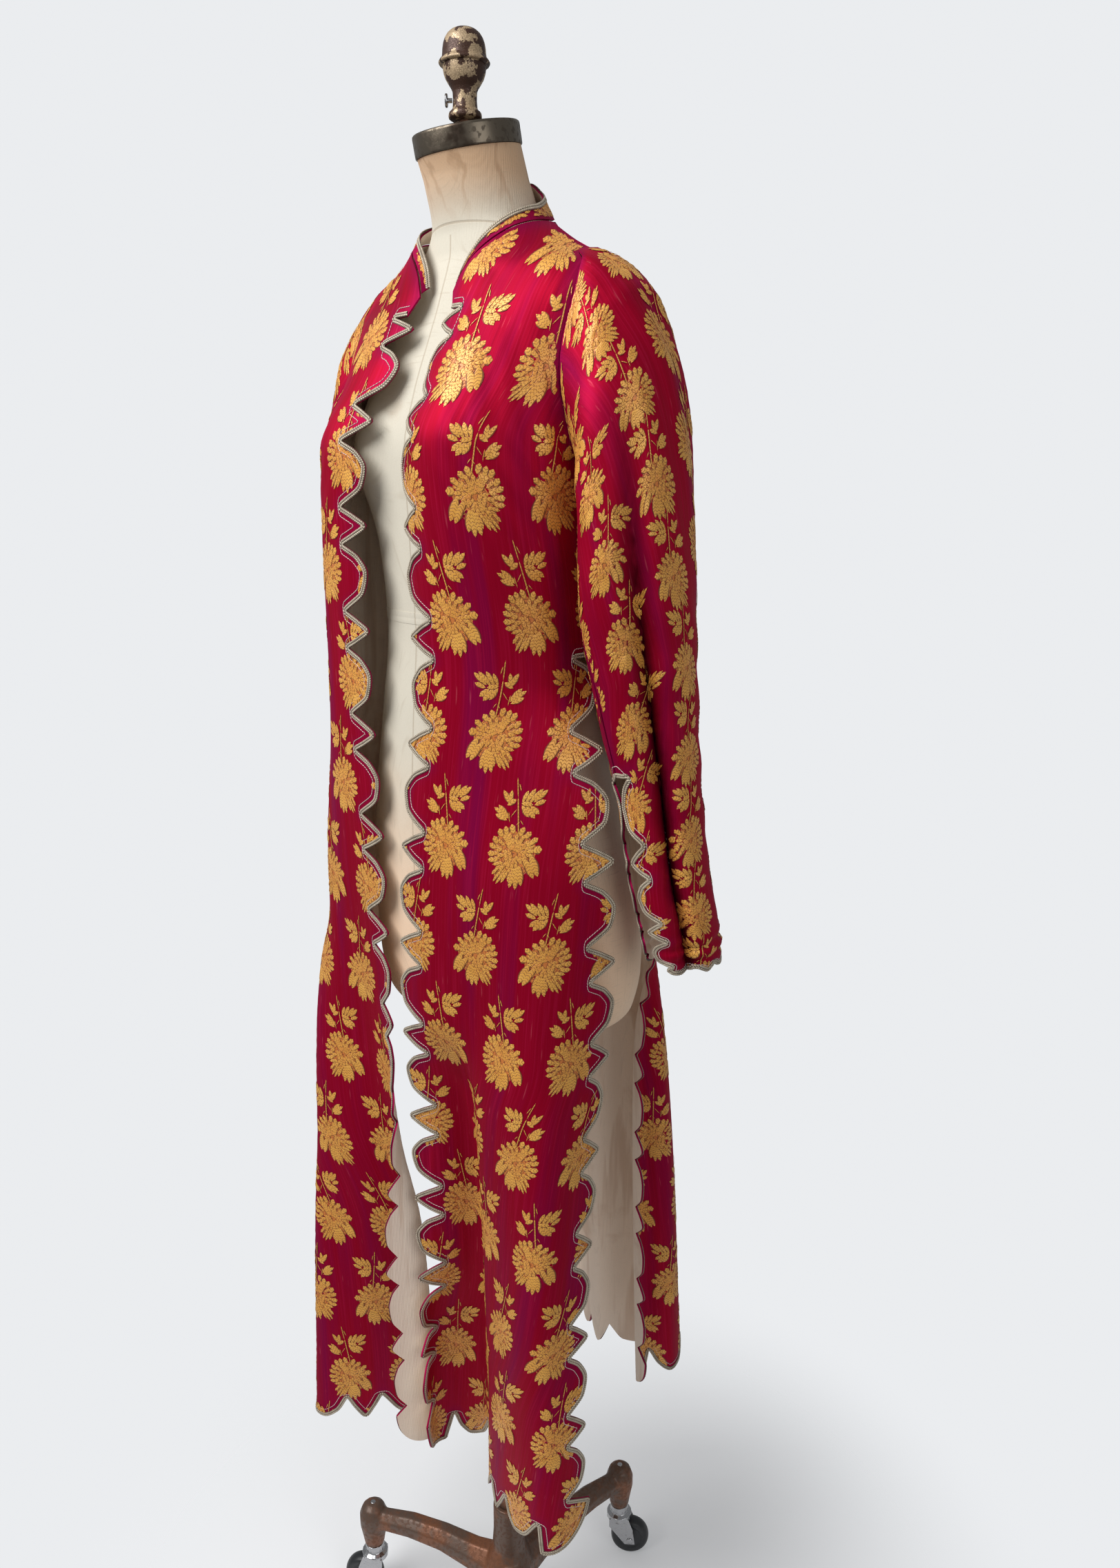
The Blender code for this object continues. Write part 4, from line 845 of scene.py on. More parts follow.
# %% [markdown]
# ### Silk and its blossoms
# Satin is woven with long floating warp threads, so it shines in upright streaks and shifts in hue from
# crimson to plum as the warp changes. The streaks read the cloth's own flat map, because a pattern that
# read the room would slide through the folds. Golden petals are a second weft floated over that ground,
# barred across by thin dark lines where the threads are tied down.

# %% Silk, petals, lining
BAR_PITCH = 0.0031


def make_silk():
    """Satin streaked from crimson to plum, plum along its edges, with painted shade in the sleeve's crease."""
    material, tree, shader = new_material("crimson satin", Metallic=0.52, Specular_IOR_Level=0.05, Anisotropic=0.5)
    flat = flat_place(tree)
    streaks = use_group(tree, STREAKS, Vector=flat, Width=26.0, Run=1.3)
    hue = ramp(tree, streaks["Broad"], 0.46, 0.70)
    ground = mix_colour(tree, hue, (0.355, 0.0018, 0.0215), (0.280, 0.0026, 0.056))
    ground = tint(tree, ground, ramp(tree, streaks["Fine"], 0.45, 0.75), 0.40, (0.510, 0.0100, 0.064))
    ground = tint(tree, ground, streaks["Pale"], 0.30, (0.74, 0.12, 0.17))
    ground = tint(tree, ground, mark(tree, "edge"), 0.75, (0.270, 0.0036, 0.062))
    # Painted shade: near black laid over the sleeve's crease, standing for the fold's shadow
    ground = tint(tree, ground, mark(tree, "crease"), 0.94, (0.020, 0.0004, 0.002))
    soft = use_group(tree, STREAKS, Vector=flat, Width=44.0, Run=3.2)
    height = math_node(tree, "MULTIPLY_ADD", soft["Broad"], 36.0, streaks["Fine"])
    finish_with(tree, shader, ground, between(tree, streaks["Fine"], 0.47, 0.62), height, 0.00006, 1.0)
    return material


def make_petals():
    """Gold threads tied down by slanting dark bars and outlined in dark red."""
    material, tree, shader = new_material("golden brocade", Metallic=0.15, Sheen_Weight=0.06,
                                          Sheen_Tint=(1.0, 0.75, 0.4, 1.0))
    across, along, _ = add(tree, "ShaderNodeSeparateXYZ", (), Vector=flat_place(tree)).outputs
    room = object_place(tree)
    off_middle = size_of(tree, across)
    wobble = times(tree, noise(tree, room, 260.0), 0.9)
    reach = math_node(tree, "ADD", times(tree, along, 1 / BAR_PITCH), wobble)
    phase = math_node(tree, "FRACT", minus(tree, reach, times(tree, off_middle, 0.9)))
    bar = minus(tree, 1.0, ramp(tree, size_of(tree, minus(tree, phase, 0.5)), 0.05, 0.15))
    line = math_node(tree, "MAXIMUM", times(tree, bar, 0.75), ramp(tree, off_middle, 0.60, 0.84))
    tone = mark(tree, "tone")
    gold = mix_colour(tree, noise(tree, room, 60.0), (0.64, 0.26, 0.034), (0.92, 0.50, 0.100))
    gold = mix_colour(tree, math_node(tree, "MULTIPLY", tone, 0.8, clamp=True), gold, (0.74, 0.25, 0.055))
    gold = mix_colour(tree, ramp(tree, tone, 1.1, 1.6), gold, (0.62, 0.19, 0.040))
    gold = tint(tree, gold, line, 0.92, (0.135, 0.014, 0.007))
    finish_with(tree, shader, gold, between(tree, line, 0.38, 0.60), minus(tree, 1.0, line), 0.0003, 0.8)
    return material


def make_cotton(name, pale, stain_and_shade, threads, cover):
    """Cream cloth with woven threads, slubs, soft stains and shallow upright folds, with painted shade in their
    hollows.
    """
    material, tree, shader = new_material(name, Sheen_Weight=0.15)
    room = object_place(tree)
    weave = use_group(tree, WEAVE, Vector=room, Threads_per_metre=threads)
    blotch = use_group(tree, BLOTCHES, Vector=room, Patches_per_metre=7.0, Cover=cover)
    ground = tint(tree, pale, blotch["Patches"], 0.6, stain_and_shade)
    ground = tint(tree, ground, weave["Slubs"], 0.25, darker(pale, 0.72))
    fold = noise(tree, stretched(tree, room, (46.0, 46.0, 3.0)), detail=3.0)
    # Painted shade: the stain colour is laid into the hollows of the upright folds
    fold_hollow_shade = math_node(tree, "SUBTRACT", 0.55, ramp(tree, fold, 0.36, 0.56), clamp=True)
    ground = mix_colour(tree, fold_hollow_shade, ground, stain_and_shade)
    height = math_node(tree, "MULTIPLY_ADD", fold, 30.0, weave["Height"])
    finish_with(tree, shader, ground, between(tree, weave["Slubs"], 0.78, 0.92), height, 0.0001, 0.6)
    return material


SILK, PETALS = make_silk(), make_petals()
LINING = make_cotton("cream lining", (0.88, 0.74, 0.61), (0.60, 0.42, 0.30), 1100.0, 0.46)
print("made", SILK.name, PETALS.name, LINING.name)

# %% [markdown]
# ### Braid and couching
# The edge is covered by a flat braid plaited from dull silver thread, and a thin rosy cord is couched a
# few millimetres inside it. Its core is painted near black as the shade between the strands, and a soft blotch dulls
# the metal.

# %% Braid finishes
def make_thread(name, bright, dull, metallic, roughness):
    """Metal or silk thread with dull patches and a fine grain."""
    material, tree, shader = new_material(name, Metallic=metallic, Sheen_Weight=0.1)
    room = object_place(tree)
    blotch = use_group(tree, BLOTCHES, Vector=room, Patches_per_metre=60.0, Cover=0.5)
    fine = noise(tree, room, 1600.0)
    ground = tint(tree, bright, blotch["Patches"], 0.6, dull)
    ground = mix_colour(tree, ramp(tree, fine, 0.35, 0.65), ground, darker(bright, 0.7))
    finish_with(tree, shader, ground, between(tree, fine, roughness - 0.1, roughness + 0.1), fine, 0.0001, 0.6)
    return material


SILVER = make_thread("dull silver braid", (0.54, 0.46, 0.35), (0.24, 0.18, 0.12), 0.30, 0.45)
# Painted shade: the braid's core is near black, so the gaps between the strands read as shaded
GAP_SHADE_CORE = make_thread("tarnished braid core", (0.13, 0.095, 0.065), (0.06, 0.040, 0.030), 0.20, 0.55)
ROSY = make_thread("rosy couched cord", (0.70, 0.52, 0.50), (0.50, 0.26, 0.27), 0.1, 0.55)
print("made", SILVER.name, GAP_SHADE_CORE.name, ROSY.name)

# %% [markdown]
# ## The hanging cloth
# A cloth simulation could drape the coat, but it would slide the scallops off the frame, and the collision
# solids would no longer match. The large folds therefore come from the section tables, and the small
# life of the cloth, such as drag lines at the underarm and slack in the skirt, from a few soft waves that
# move each point by 3 mm at most along the cloth's own direction.

# %% Small waves in the cloth
def bump_of(value, centre, spread):
    """1 at the centre, fading to 0 on either side."""
    return np.exp(-((value - centre) / spread) ** 2)


def front_waves(flat, spots):
    """Slack in the skirt, and drag lines that run from the underarm to the chest."""
    run, z = np.abs(flat[:, 0]), flat[:, 1]
    skirt = np.clip((1.15 - z) / 0.6, 0, 1)
    waves = 0.0016 * skirt * np.sin(run * 62 + 1.3 * np.sin(z * 5.1) + z * 2.0)
    slant = run * 0.85 + (z - UNDERARM_Z) * 0.55
    near = bump_of(z, 1.46, 0.075) * bump_of(np.abs(spots[:, 0]), 0.13, 0.05)
    return waves + 0.0011 * near * np.sin(slant * 260)


def back_waves(flat, spots):
    """Slack in the skirt behind."""
    run, z = flat[:, 0], flat[:, 1]
    skirt = np.clip((1.20 - z) / 0.6, 0, 1)
    return 0.0018 * skirt * np.sin(run * 55 + 1.5 * np.sin(z * 4.3) + z * 1.7)


def sleeve_waves(flat, spots):
    """Long soft folds down the sleeve, and crosswise ones where it is pushed up at the wrist."""
    run, h = flat[:, 0], flat[:, 1]
    share = run / SLEEVE_GIRTH
    fade = np.clip(1 - np.abs(share - 0.5) * 2.05, 0, 1) ** 0.5
    upper = bump_of(h, -0.05, 0.16) * 0.0012 * np.sin(share * 60 + h * 14)
    elbow = bump_of(h, -0.30, 0.10) * 0.0012 * np.sin(h * 150 + share * 13)
    wrist = bump_of(h, -0.545, 0.030) * 0.0030 * np.cos((h + 0.545) * 190 + 0.8 * np.sin(share * 9))
    return fade * (upper + elbow + wrist)


# %% Fronts and back
sheets, braided = {}, {}
for name, panel, draw, waves in (("front_left", left_front, front_outline, front_waves),
                                 ("front_right", right_front, front_outline, front_waves),
                                 ("back", back, back_outline, back_waves)):
    outline, trimmed = draw(panel)
    sheets[name], braided[name] = Sheet(outline, panel.place, panel.outward, waves), slice(trimmed)
    print(name, len(sheets[name].flat), "points", round(time.time() - started, 1), "s")

# %% [markdown]
# ## Sleeves
# A sleeve is one piece rolled round the arm. Its section table gives ovals down the arm, and its head is
# drawn out to the armhole of the fronts and back, so the seam closes. The cloth's true length between
# two ovals is not the same as the pitch of the pattern, so the woven pattern uses its own lengths.

# %% The sleeve's lie
def facing(place, run, height, outward):
    """The cloth's outward direction at a point, measured from its near neighbours."""
    step = 0.003
    across = place(run + step, height) - place(run - step, height)
    up = place(run, height + step) - place(run, height - step)
    normal = np.cross(across, up) * outward
    return normal / np.linalg.norm(normal)


def armhole_loop(front_panel, back_panel, sign):
    """The sleeve's first edge, just outside the armhole: up the front, over the shoulder, down the back."""
    lift = CLOTH + 2 * SEAM_GAP
    lines = []
    for panel, far in ((front_panel, True), (back_panel, sign < 0)):
        line = armhole_line(panel, far)
        lines.append([panel.place(*p) + facing(panel.place, *p, panel.outward) * lift for p in line])
    front, rear = lines
    return np.array([(front[0] + rear[0]) / 2, *front[1:-1], (front[-1] + rear[-1]) / 2, *rear[1:-1][::-1],
                     (front[0] + rear[0]) / 2])


def sleeve_ring(row, share):
    """A point of the left sleeve's oval. Share 0 and 1 are its seam, which turns forward to the slit."""
    marks = np.arange(len(SLEEVE))
    inner_x, inner_z, outer_x, outer_z, middle_y, depth, crease = smooth(marks, np.array(SLEEVE), row)
    settle = smooth((0, 3), [[0.0], [1.0]], min(row, 3))[0]
    angle = math.pi + SLEEVE_SEAM_TURN * settle + share * 2 * math.pi
    away = math.atan2(math.sin(angle - CREASE_ANGLE), math.cos(angle - CREASE_ANGLE))
    pinch = 1 - crease * math.exp(-((away / CREASE_SPREAD) ** 2))
    across = math.cos(angle) * pinch
    return np.array(((inner_x + outer_x) / 2 + (outer_x - inner_x) / 2 * across,
                     middle_y + depth * math.sin(angle) * pinch,
                     (inner_z + outer_z) / 2 + (outer_z - inner_z) / 2 * across))


def sleeve_place(loop, sign, run, height):
    """A point of a sleeve: run goes round it and height down it, with the shoulder's first ring at 0."""
    row = -height / SLEEVE_PITCH
    parting = SLEEVE_SLIT_PARTING * max(row - SLEEVE_SLIT_ROW, 0) / (len(SLEEVE) - 1 - SLEEVE_SLIT_ROW)
    share = min(max(run / SLEEVE_GIRTH, -0.01), 1.01) * (1 - 2 * parting) + parting
    ring = sleeve_ring(max(row, 0.0), share) * np.array((sign, 1, 1))
    if row >= 0:
        return ring
    marks = np.linspace(0, 1, len(loop))
    seam = np.array([np.interp(share, marks, loop[:, axis]) for axis in range(3)])
    t = min(row + 1, 1.0)
    crown = SLEEVE_CROWN * math.sin(math.pi * share) ** 2 * math.sin(math.pi * t)
    return seam * (1 - t) + ring * t + np.array((0, 0, crown))


# %% Two sleeves
CUFF_INSET = 0.022
WRIST_CORNER = 0.016


def sleeve_outline():
    """The sleeve's flat outline, and the first and last of its points that have braid."""
    cuff = -(len(SLEEVE) - 1) * SLEEVE_PITCH
    slit = -SLEEVE_SLIT_ROW * SLEEVE_PITCH
    upper = [(SLEEVE_SLIT_GAP, h) for h in np.linspace(SLEEVE_PITCH, slit, 62)[:-1]]
    edge = [(SLEEVE_SLIT_GAP + inset, h) for h, inset in scallops(slit, cuff + CUFF_INSET, CUFF_INSET)]
    edge[0] = (SLEEVE_SLIT_GAP, slit)
    hem = [(run, cuff + inset) for run, inset in scallops(
        WRIST_CORNER, SLEEVE_GIRTH - WRIST_CORNER, depth=0.014, broad=0.042, narrow=0.026)]
    half = upper + edge + hem[:len(hem) // 2]
    outline = half + [(SLEEVE_GIRTH - run, h) for run, h in half[::-1]]
    outline += [(SLEEVE_GIRTH * share, SLEEVE_PITCH) for share in np.linspace(1, 0, 2 * ARMHOLE_POINTS - 1)[1:-1]]
    return outline, len(upper), 2 * len(half) - len(upper)


# The cloth's true length between rings down the sleeve, from its head, and its true width round each
SLEEVE_LENGTHS = (0.085, 0.077, 0.115, 0.125, 0.125, 0.090, 0.060, 0.042)
SLEEVE_WIDTHS = (0.36, 0.40, 0.41, 0.40, 0.37, 0.30, 0.26, 0.235, 0.225)
SLEEVE_DOWN = np.concatenate([[0.0], np.cumsum(SLEEVE_LENGTHS)])
SLEEVE_RINGS = np.arange(len(SLEEVE_WIDTHS))


def sleeve_pattern(flat):
    """Run and height in the sleeve's true lengths: run from the middle of the cloth, height from its head."""
    rows = np.clip(1 - flat[:, 1] / SLEEVE_PITCH, 0, SLEEVE_RINGS[-1])
    down = np.interp(rows, SLEEVE_RINGS, SLEEVE_DOWN)
    width = np.interp(rows, SLEEVE_RINGS, SLEEVE_WIDTHS)
    return np.stack([(flat[:, 0] / SLEEVE_GIRTH - 0.5) * width, -down], axis=1)


def sleeve_crease_shade(sheet):
    """How far each point lies in the bottom of the sleeve's long crease, where the silk paints the fold's shadow."""
    rows = np.clip(-sheet.flat[:, 1] / SLEEVE_PITCH, 0, len(SLEEVE) - 1)
    settle = np.clip(rows / 3, 0, 1)
    angle = math.pi + SLEEVE_SEAM_TURN * settle + sheet.flat[:, 0] / SLEEVE_GIRTH * 2 * math.pi - CREASE_ANGLE
    away = np.arctan2(np.sin(angle), np.cos(angle))
    depth = np.interp(rows, np.arange(len(SLEEVE)), [row[6] for row in SLEEVE])
    return np.exp(-((away / CREASE_SPREAD) ** 2)) * np.clip(depth * 2.2, 0, 1)


for name, sign, front in (("sleeve_left", 1, left_front), ("sleeve_right", -1, right_front)):
    outline, first, last = sleeve_outline()
    place = functools.partial(sleeve_place, armhole_loop(front, back, sign), sign)
    sheet = Sheet(outline, place, sign, sleeve_waves)
    sheet.pattern = sleeve_pattern(sheet.flat)
    sheets[name], braided[name] = sheet, slice(first, last)
    print(name, len(sheet.flat), "points", round(time.time() - started, 1), "s")

# %% [markdown]
# ## Collar
# The small stand collar is a strip that rises from the neckline. It is low at the front notches and full
# height behind the shoulders, and it leans in towards the neck. Its flat coordinates are the share of the
# way round and the height up it, scaled to metres.

# %% The collar's lie
def collar_path():
    """The foot of the collar, from the left corner round the back of the neck to the right corner."""
    behind = []
    for share in np.linspace(0, 1, 11)[1:-1]:
        z = back_neck_height(share)
        behind.append(back.place(back.across(z, share), z))
    left, right = ([panel.place(*neckline_place(panel, turn)) for turn in np.linspace(1, NECK_CORNER_TURN, 7)[1:]]
                   for panel in (left_front, right_front))
    points = np.array([*left[::-1], *behind, *right])
    along = distances(points)
    return np.array([smooth(along, points, s) for s in np.linspace(0, along[-1], 121)]), along[-1]


COLLAR_PATH, COLLAR_LENGTH = collar_path()


NECK_AXIS_Y = -0.016
COLLAR_FRONT = 0.14


def collar_place(run, height):
    """A point of the collar: run from its left end, and height up it. It leans in more towards its ends."""
    share = run / COLLAR_LENGTH
    marks = np.linspace(0, 1, len(COLLAR_PATH))
    foot = np.array([np.interp(share, marks, COLLAR_PATH[:, axis]) for axis in range(3)])
    inward = np.array((0.0, NECK_AXIS_Y, foot[2])) - foot
    inward /= np.linalg.norm(inward)
    front = math.exp(-(min(share, 1 - share) / COLLAR_FRONT) ** 2)
    lean = inward * (0.45 + 0.40 * front) + np.array((0, 0, 0.90 - 0.35 * front))
    return foot + lean / np.linalg.norm(lean) * height


def collar_top(share):
    """The collar's height at a share of the way round."""
    heights = [[COLLAR_END_HEIGHT], [COLLAR_END_HEIGHT + 0.001], [COLLAR_HEIGHT]]
    return smooth((0.0, 0.20, 0.42), heights, min(share, 1 - share))[0]


COLLAR_GRID = 0.005


def collar_outline():
    """The collar's flat outline: its foot, then as many points of its top edge, which has the braid."""
    shares = np.linspace(0.008, 0.992, 100)
    foot = [(share * COLLAR_LENGTH, SEAM_GAP + CLOTH * 0.8) for share in shares]
    return foot + [(share * COLLAR_LENGTH, collar_top(share)) for share in shares[::-1]]


outline = collar_outline()
sheets["collar"] = Sheet(outline, collar_place, 1, lambda flat, spots: np.zeros(len(flat)), COLLAR_GRID)
braided["collar"] = slice(len(outline) // 2, None)
print("collar", round(COLLAR_LENGTH, 3), "m round,", len(sheets["collar"].flat), "points")

# %% [markdown]
# ### The cloth itself
# Each sheet now becomes a closed wall 2 mm thick. Blender's Solidify modifier could do that, with a material
# offset for the lining. The wall is built in code here, because its outer face must lie exactly where the
# sheet lays the braid, the stitches and the petals.

# %% Cloth pieces on the frame
def flat_area(sheet):
    """The cut's area in square metres, measured on the hanging cloth."""
    a, b, c = (sheet.spots[sheet.faces[:, k]] for k in range(3))
    return float(np.linalg.norm(np.cross(b - a, c - a), axis=1).sum() / 2)


for name, sheet in sheets.items():
    # The crease mask marks where the silk paints the shade of the sleeve's fold
    crease = sleeve_crease_shade(sheet) if name.startswith("sleeve") else None
    place_piece(cloth_object(f"silk_{name}", sheet, (SILK, LINING), crease), "form", "silk", name)
    print(name, "area", round(flat_area(sheet), 3), "m2, box", np.round(np.ptp(sheet.spots, axis=0), 3))

# %% [markdown]
# ## Blossoms
# The brocade repeats one hanging blossom with its stem, leaves and bud. It could be painted by a shader,
# but a woven petal really is a raised float that catches the light on its own. Each petal here is a thin
# ridged strip drawn on the flat pattern, in millimetres from the middle of the bloom, and laid on the
# cloth. Every second row of blossoms is the mirror image of the row above.

# %% One blossom
# Columns: base x, base y, tip x, tip y, width, and tone from gold at 0 to orange red at 1
PETALS_MM = (
    (-14.8, 8.8, -18.8, 17.2, 5, 0), (-10.4, 10.4, -13.2, 20, 4.6, 0), (-4.4, 12.8, -7.6, 22, 5, 0),
    (1.2, 10.4, 4.8, 20, 4.8, 0), (6.4, 8.8, 11.6, 15.6, 5, 0), (12, 4, 18.8, 10, 4.8, 0),
    (15.2, -1.6, 24, -0.8, 6.8, 0), (-18.4, 2.4, -23.2, 9.6, 5, 0), (-19.2, -2.4, -26.4, 2.4, 4.8, 0),
    (-19.2, -7.6, -27.2, -6.8, 5.4, 0), (-16, -12.8, -26.4, -13.2, 4.4, 0), (-10.4, -14.4, -21.2, -17.6, 3.4, 0),
    (-9, 5, -13.5, 11.5, 4.2, 0.1), (-6, 6.4, -10, 12.5, 3.8, 0.2), (2.4, 4.8, 6.4, 12.8, 3.6, 0.2),
    (8.8, 1.6, 15, 6.4, 4.2, 0.1), (9.6, -3.2, 17, -2.4, 4, 0.1), (-12.8, -1.6, -19, -4, 4.2, 0.1),
    (-10.4, -7.2, -17.6, -8.8, 4.2, 0.2), (-0.8, -4, -4.8, 4.8, 3.6, 0.6), (-3.2, -11.2, -7.2, -2.4, 3.8, 0.5),
    (-6.4, -16.8, -9.6, -7.2, 3.6, 0.4), (0, -8.8, -2.8, -17.6, 3.2, 0.5), (2.4, -0.8, 5.6, -12, 3.4, 0.7),
    (5.6, -4, 11, -12, 3.6, 0.5), (3.2, 4, 9, 1, 3.4, 0.6), (-2.4, 0, -8, -3, 3, 0.7),
    (12.8, -4, 23.4, -26.5, 6.5, 0), (8.8, -8.8, 19.5, -28.5, 5.6, 0), (6.5, -7, 14, -20, 4.2, 0.2),
    (5, -16.5, 8.5, -36, 5, 0), (3.5, -17, 3.2, -40, 5, 0), (2, -18, -2.6, -38.5, 5, 0),
    (0.5, -18.5, -4.6, -33, 4.6, 0.1), (-4, -20, -11, -34.5, 3, 0), (-6.4, -20.8, -16, -36, 2.8, 0),
    (-10.4, -20, -19, -34, 2.6, 0), (-14.5, -19.5, -20.8, -27, 3, 0), (-9.5, -17, -13.5, -22, 4, 0.1),
    (-0.8, 41.6, 3.6, 53.6, 3.4, 0), (2.4, 41.6, 10, 55.6, 4, 0), (5.6, 41.6, 16.8, 55.2, 4.2, 0),
    (9.6, 42.4, 21.2, 54.4, 4.2, 0), (10.4, 40, 20.8, 44.8, 4.2, 0), (-0.8, 40, 7.2, 28.8, 4.4, 0),
    (3.2, 39.2, 12.8, 28, 5, 0), (7.2, 39.2, 16.4, 32, 4.6, 0), (-1.6, 41.6, 9.6, 40.4, 4.4, 0),
    (-10.4, 39.2, -19.6, 53.2, 4.2, 0), (-12.4, 40, -11.6, 53.6, 3.8, 0), (-14.4, 39.2, -6.4, 45.2, 4.4, 0),
    (-11.5, 28.5, -22.5, 39.2, 4, 0), (-11.2, 27, -26.5, 36.8, 4.2, 0), (-12.2, 25.2, -24.5, 30.5, 4.2, 0),
    (-8, 65.6, -5.2, 47.2, 1.3, 0.1), (-5.2, 47.2, 0.2, 12, 1.5, 0.1), (-5.6, 60, -3, 52.8, 1.2, 0.1),
    (-4.8, 36, -9.6, 28.4, 1, 0.1), (-12, 33.6, -10, 23.2, 1.1, 0.1), (-0.4, 24.8, -3.2, 21, 1, 0.1),
    (0, 26, 3.2, 21.6, 1, 0.1),
)
# The dark orange ground under the bloom's petals, point by point round it
BLOOM_GROUND_MM = (
    (-20, 8), (-16.5, 14.5), (-14, 13), (-12.4, 17), (-9, 15), (-6.6, 19), (-1, 14), (3.6, 17), (6, 12), (9.6, 13.4),
    (12, 8), (16.2, 8), (17, 3), (21, -1), (18, -7), (20.4, -19), (17, -23), (14, -21), (9, -26), (7, -32),
    (3.2, -35), (-2, -34), (-4.4, -29), (-10, -31), (-14.6, -32), (-18, -30.4), (-19, -24), (-17, -18),
    (-23, -13), (-20, -10), (-24, -6.8), (-20, -2.4), (-23.4, 1.6),
)
PETAL_STEP = 0.0036
# Where the petals inside the bloom start and end, as shares of the way from its middle to its outline
INNER_REACH = ((0.50, 0.96), (0.10, 0.62))
PETAL_RISE = 0.00034
PETAL_FULLNESS = 1.42
# Each petal lies this much higher than the one before it, so that no two share a plane
PETAL_STACK = 4e-6
STEM_WIDTH = 2
INNER_WIDTH, INNER_TONE = 3.6, 0.25
# A tone above 1 marks the ground, which the petals' finish paints dark orange
GROUND_TONE, GROUND_RISE = 2.0, 0.00001


def petal_strip(base, tip, width, stem):
    """Flat points of one petal, its faces, and how far across, along and up each point is."""
    along = tip - base
    length = np.linalg.norm(along)
    along = along / length
    side = np.array((-along[1], along[0]))
    count = max(4, round(length / PETAL_STEP) + 1)
    points, facts, faces = [base], [(0.0, 0.0, 0.0)], []
    for s in np.linspace(0, 1, count)[1:-1]:
        swell = 1.0 if stem else max(math.sin(math.pi * s ** 1.15), 0.0) ** 0.80
        for across, rise in ((-1, 0.15), (0, 1.0), (1, 0.15)):
            points.append(base + along * length * s + side * across * swell * width / 2)
            facts.append((across, length * s, rise * PETAL_RISE))
    points.append(tip)
    facts.append((0.0, length, 0.0))
    last = len(points) - 1
    faces += [(0, 1, 2), (0, 2, 3), (last, last - 1, last - 2), (last, last - 2, last - 3)]
    for k in range(1, last - 3, 3):
        for a, b in ((k, k + 1), (k + 1, k + 2)):
            faces += [(a, b + 3, b), (a, a + 3, b + 3)]
    return points, facts, faces


def make_blossom():
    """The whole blossom in metres, about the middle of its bloom."""
    ring = np.array(BLOOM_GROUND_MM[::-1]) / 1000
    middle = np.array((-0.002, -0.006))
    shares = (0.14, 0.30, 0.47, 0.64, 0.82, 1.0)
    points = [middle, *(middle + (p - middle) * share for share in shares for p in ring)]
    facts = [(0.0, float(np.linalg.norm(p - middle)), GROUND_RISE) for p in points]
    size, faces = len(ring), []
    for i in range(size):
        j = (i + 1) % size
        faces.append((0, 1 + i, 1 + j))
        for k in range(1, 1 + size * (len(shares) - 1), size):
            faces += [(k + i, k + size + i, k + size + j), (k + i, k + size + j, k + j)]
    tones = [GROUND_TONE] * len(points)
    inner = []
    for n, p in enumerate(ring * 1000):
        base, tip = (middle * 1000 * (1 - share) + p * share for share in INNER_REACH[n % 2])
        inner.append((*base, *tip, INNER_WIDTH, INNER_TONE))
    for n, (x0, y0, x1, y1, width, tone) in enumerate([*inner, *PETALS_MM]):
        stem = width < STEM_WIDTH
        full = width if stem else width * PETAL_FULLNESS
        strip, fact, face = petal_strip(np.array((x0, y0)) / 1000, np.array((x1, y1)) / 1000, full / 1000, stem)
        faces += [tuple(i + len(points) for i in f) for f in face]
        points += strip
        facts += [(across, along, rise + n * PETAL_STACK) for across, along, rise in fact]
        tones += [tone] * len(strip)
    return np.array(points), np.array(facts), np.array(faces), np.array(tones)


BLOSSOM = make_blossom()
print("one blossom:", len(BLOSSOM[0]), "points,", len(BLOSSOM[2]), "triangles")

# %% Where the blossoms hang
COLUMN_PITCH, ROW_PITCH = 0.0725, 0.1075
COLUMNS_EACH_WAY, ROWS_EACH_WAY = 8, 12
# A bloom whose middle is off the cloth by less than this still has petals on it
BLOOM_REACH = 0.05
EDGE_CLEAR = 0.0022
PETAL_CLEAR = 0.00006


def lattice(sheet, origin):
    """Bloom centres as run, height and whether mirrored, in staggered rows over the whole panel."""
    low, high = sheet.pattern.min(axis=0) - BLOOM_REACH, sheet.pattern.max(axis=0) + BLOOM_REACH
    found = []
    for row in range(-ROWS_EACH_WAY, ROWS_EACH_WAY + 1):
        z = origin[1] + row * ROW_PITCH
        shift = (row % 2) * COLUMN_PITCH / 2
        for column in range(-COLUMNS_EACH_WAY, COLUMNS_EACH_WAY + 1):
            run = origin[0] + shift + column * COLUMN_PITCH
            if low[0] < run < high[0] and low[1] < z < high[1]:
                found.append((run, z, row % 2))
    return found


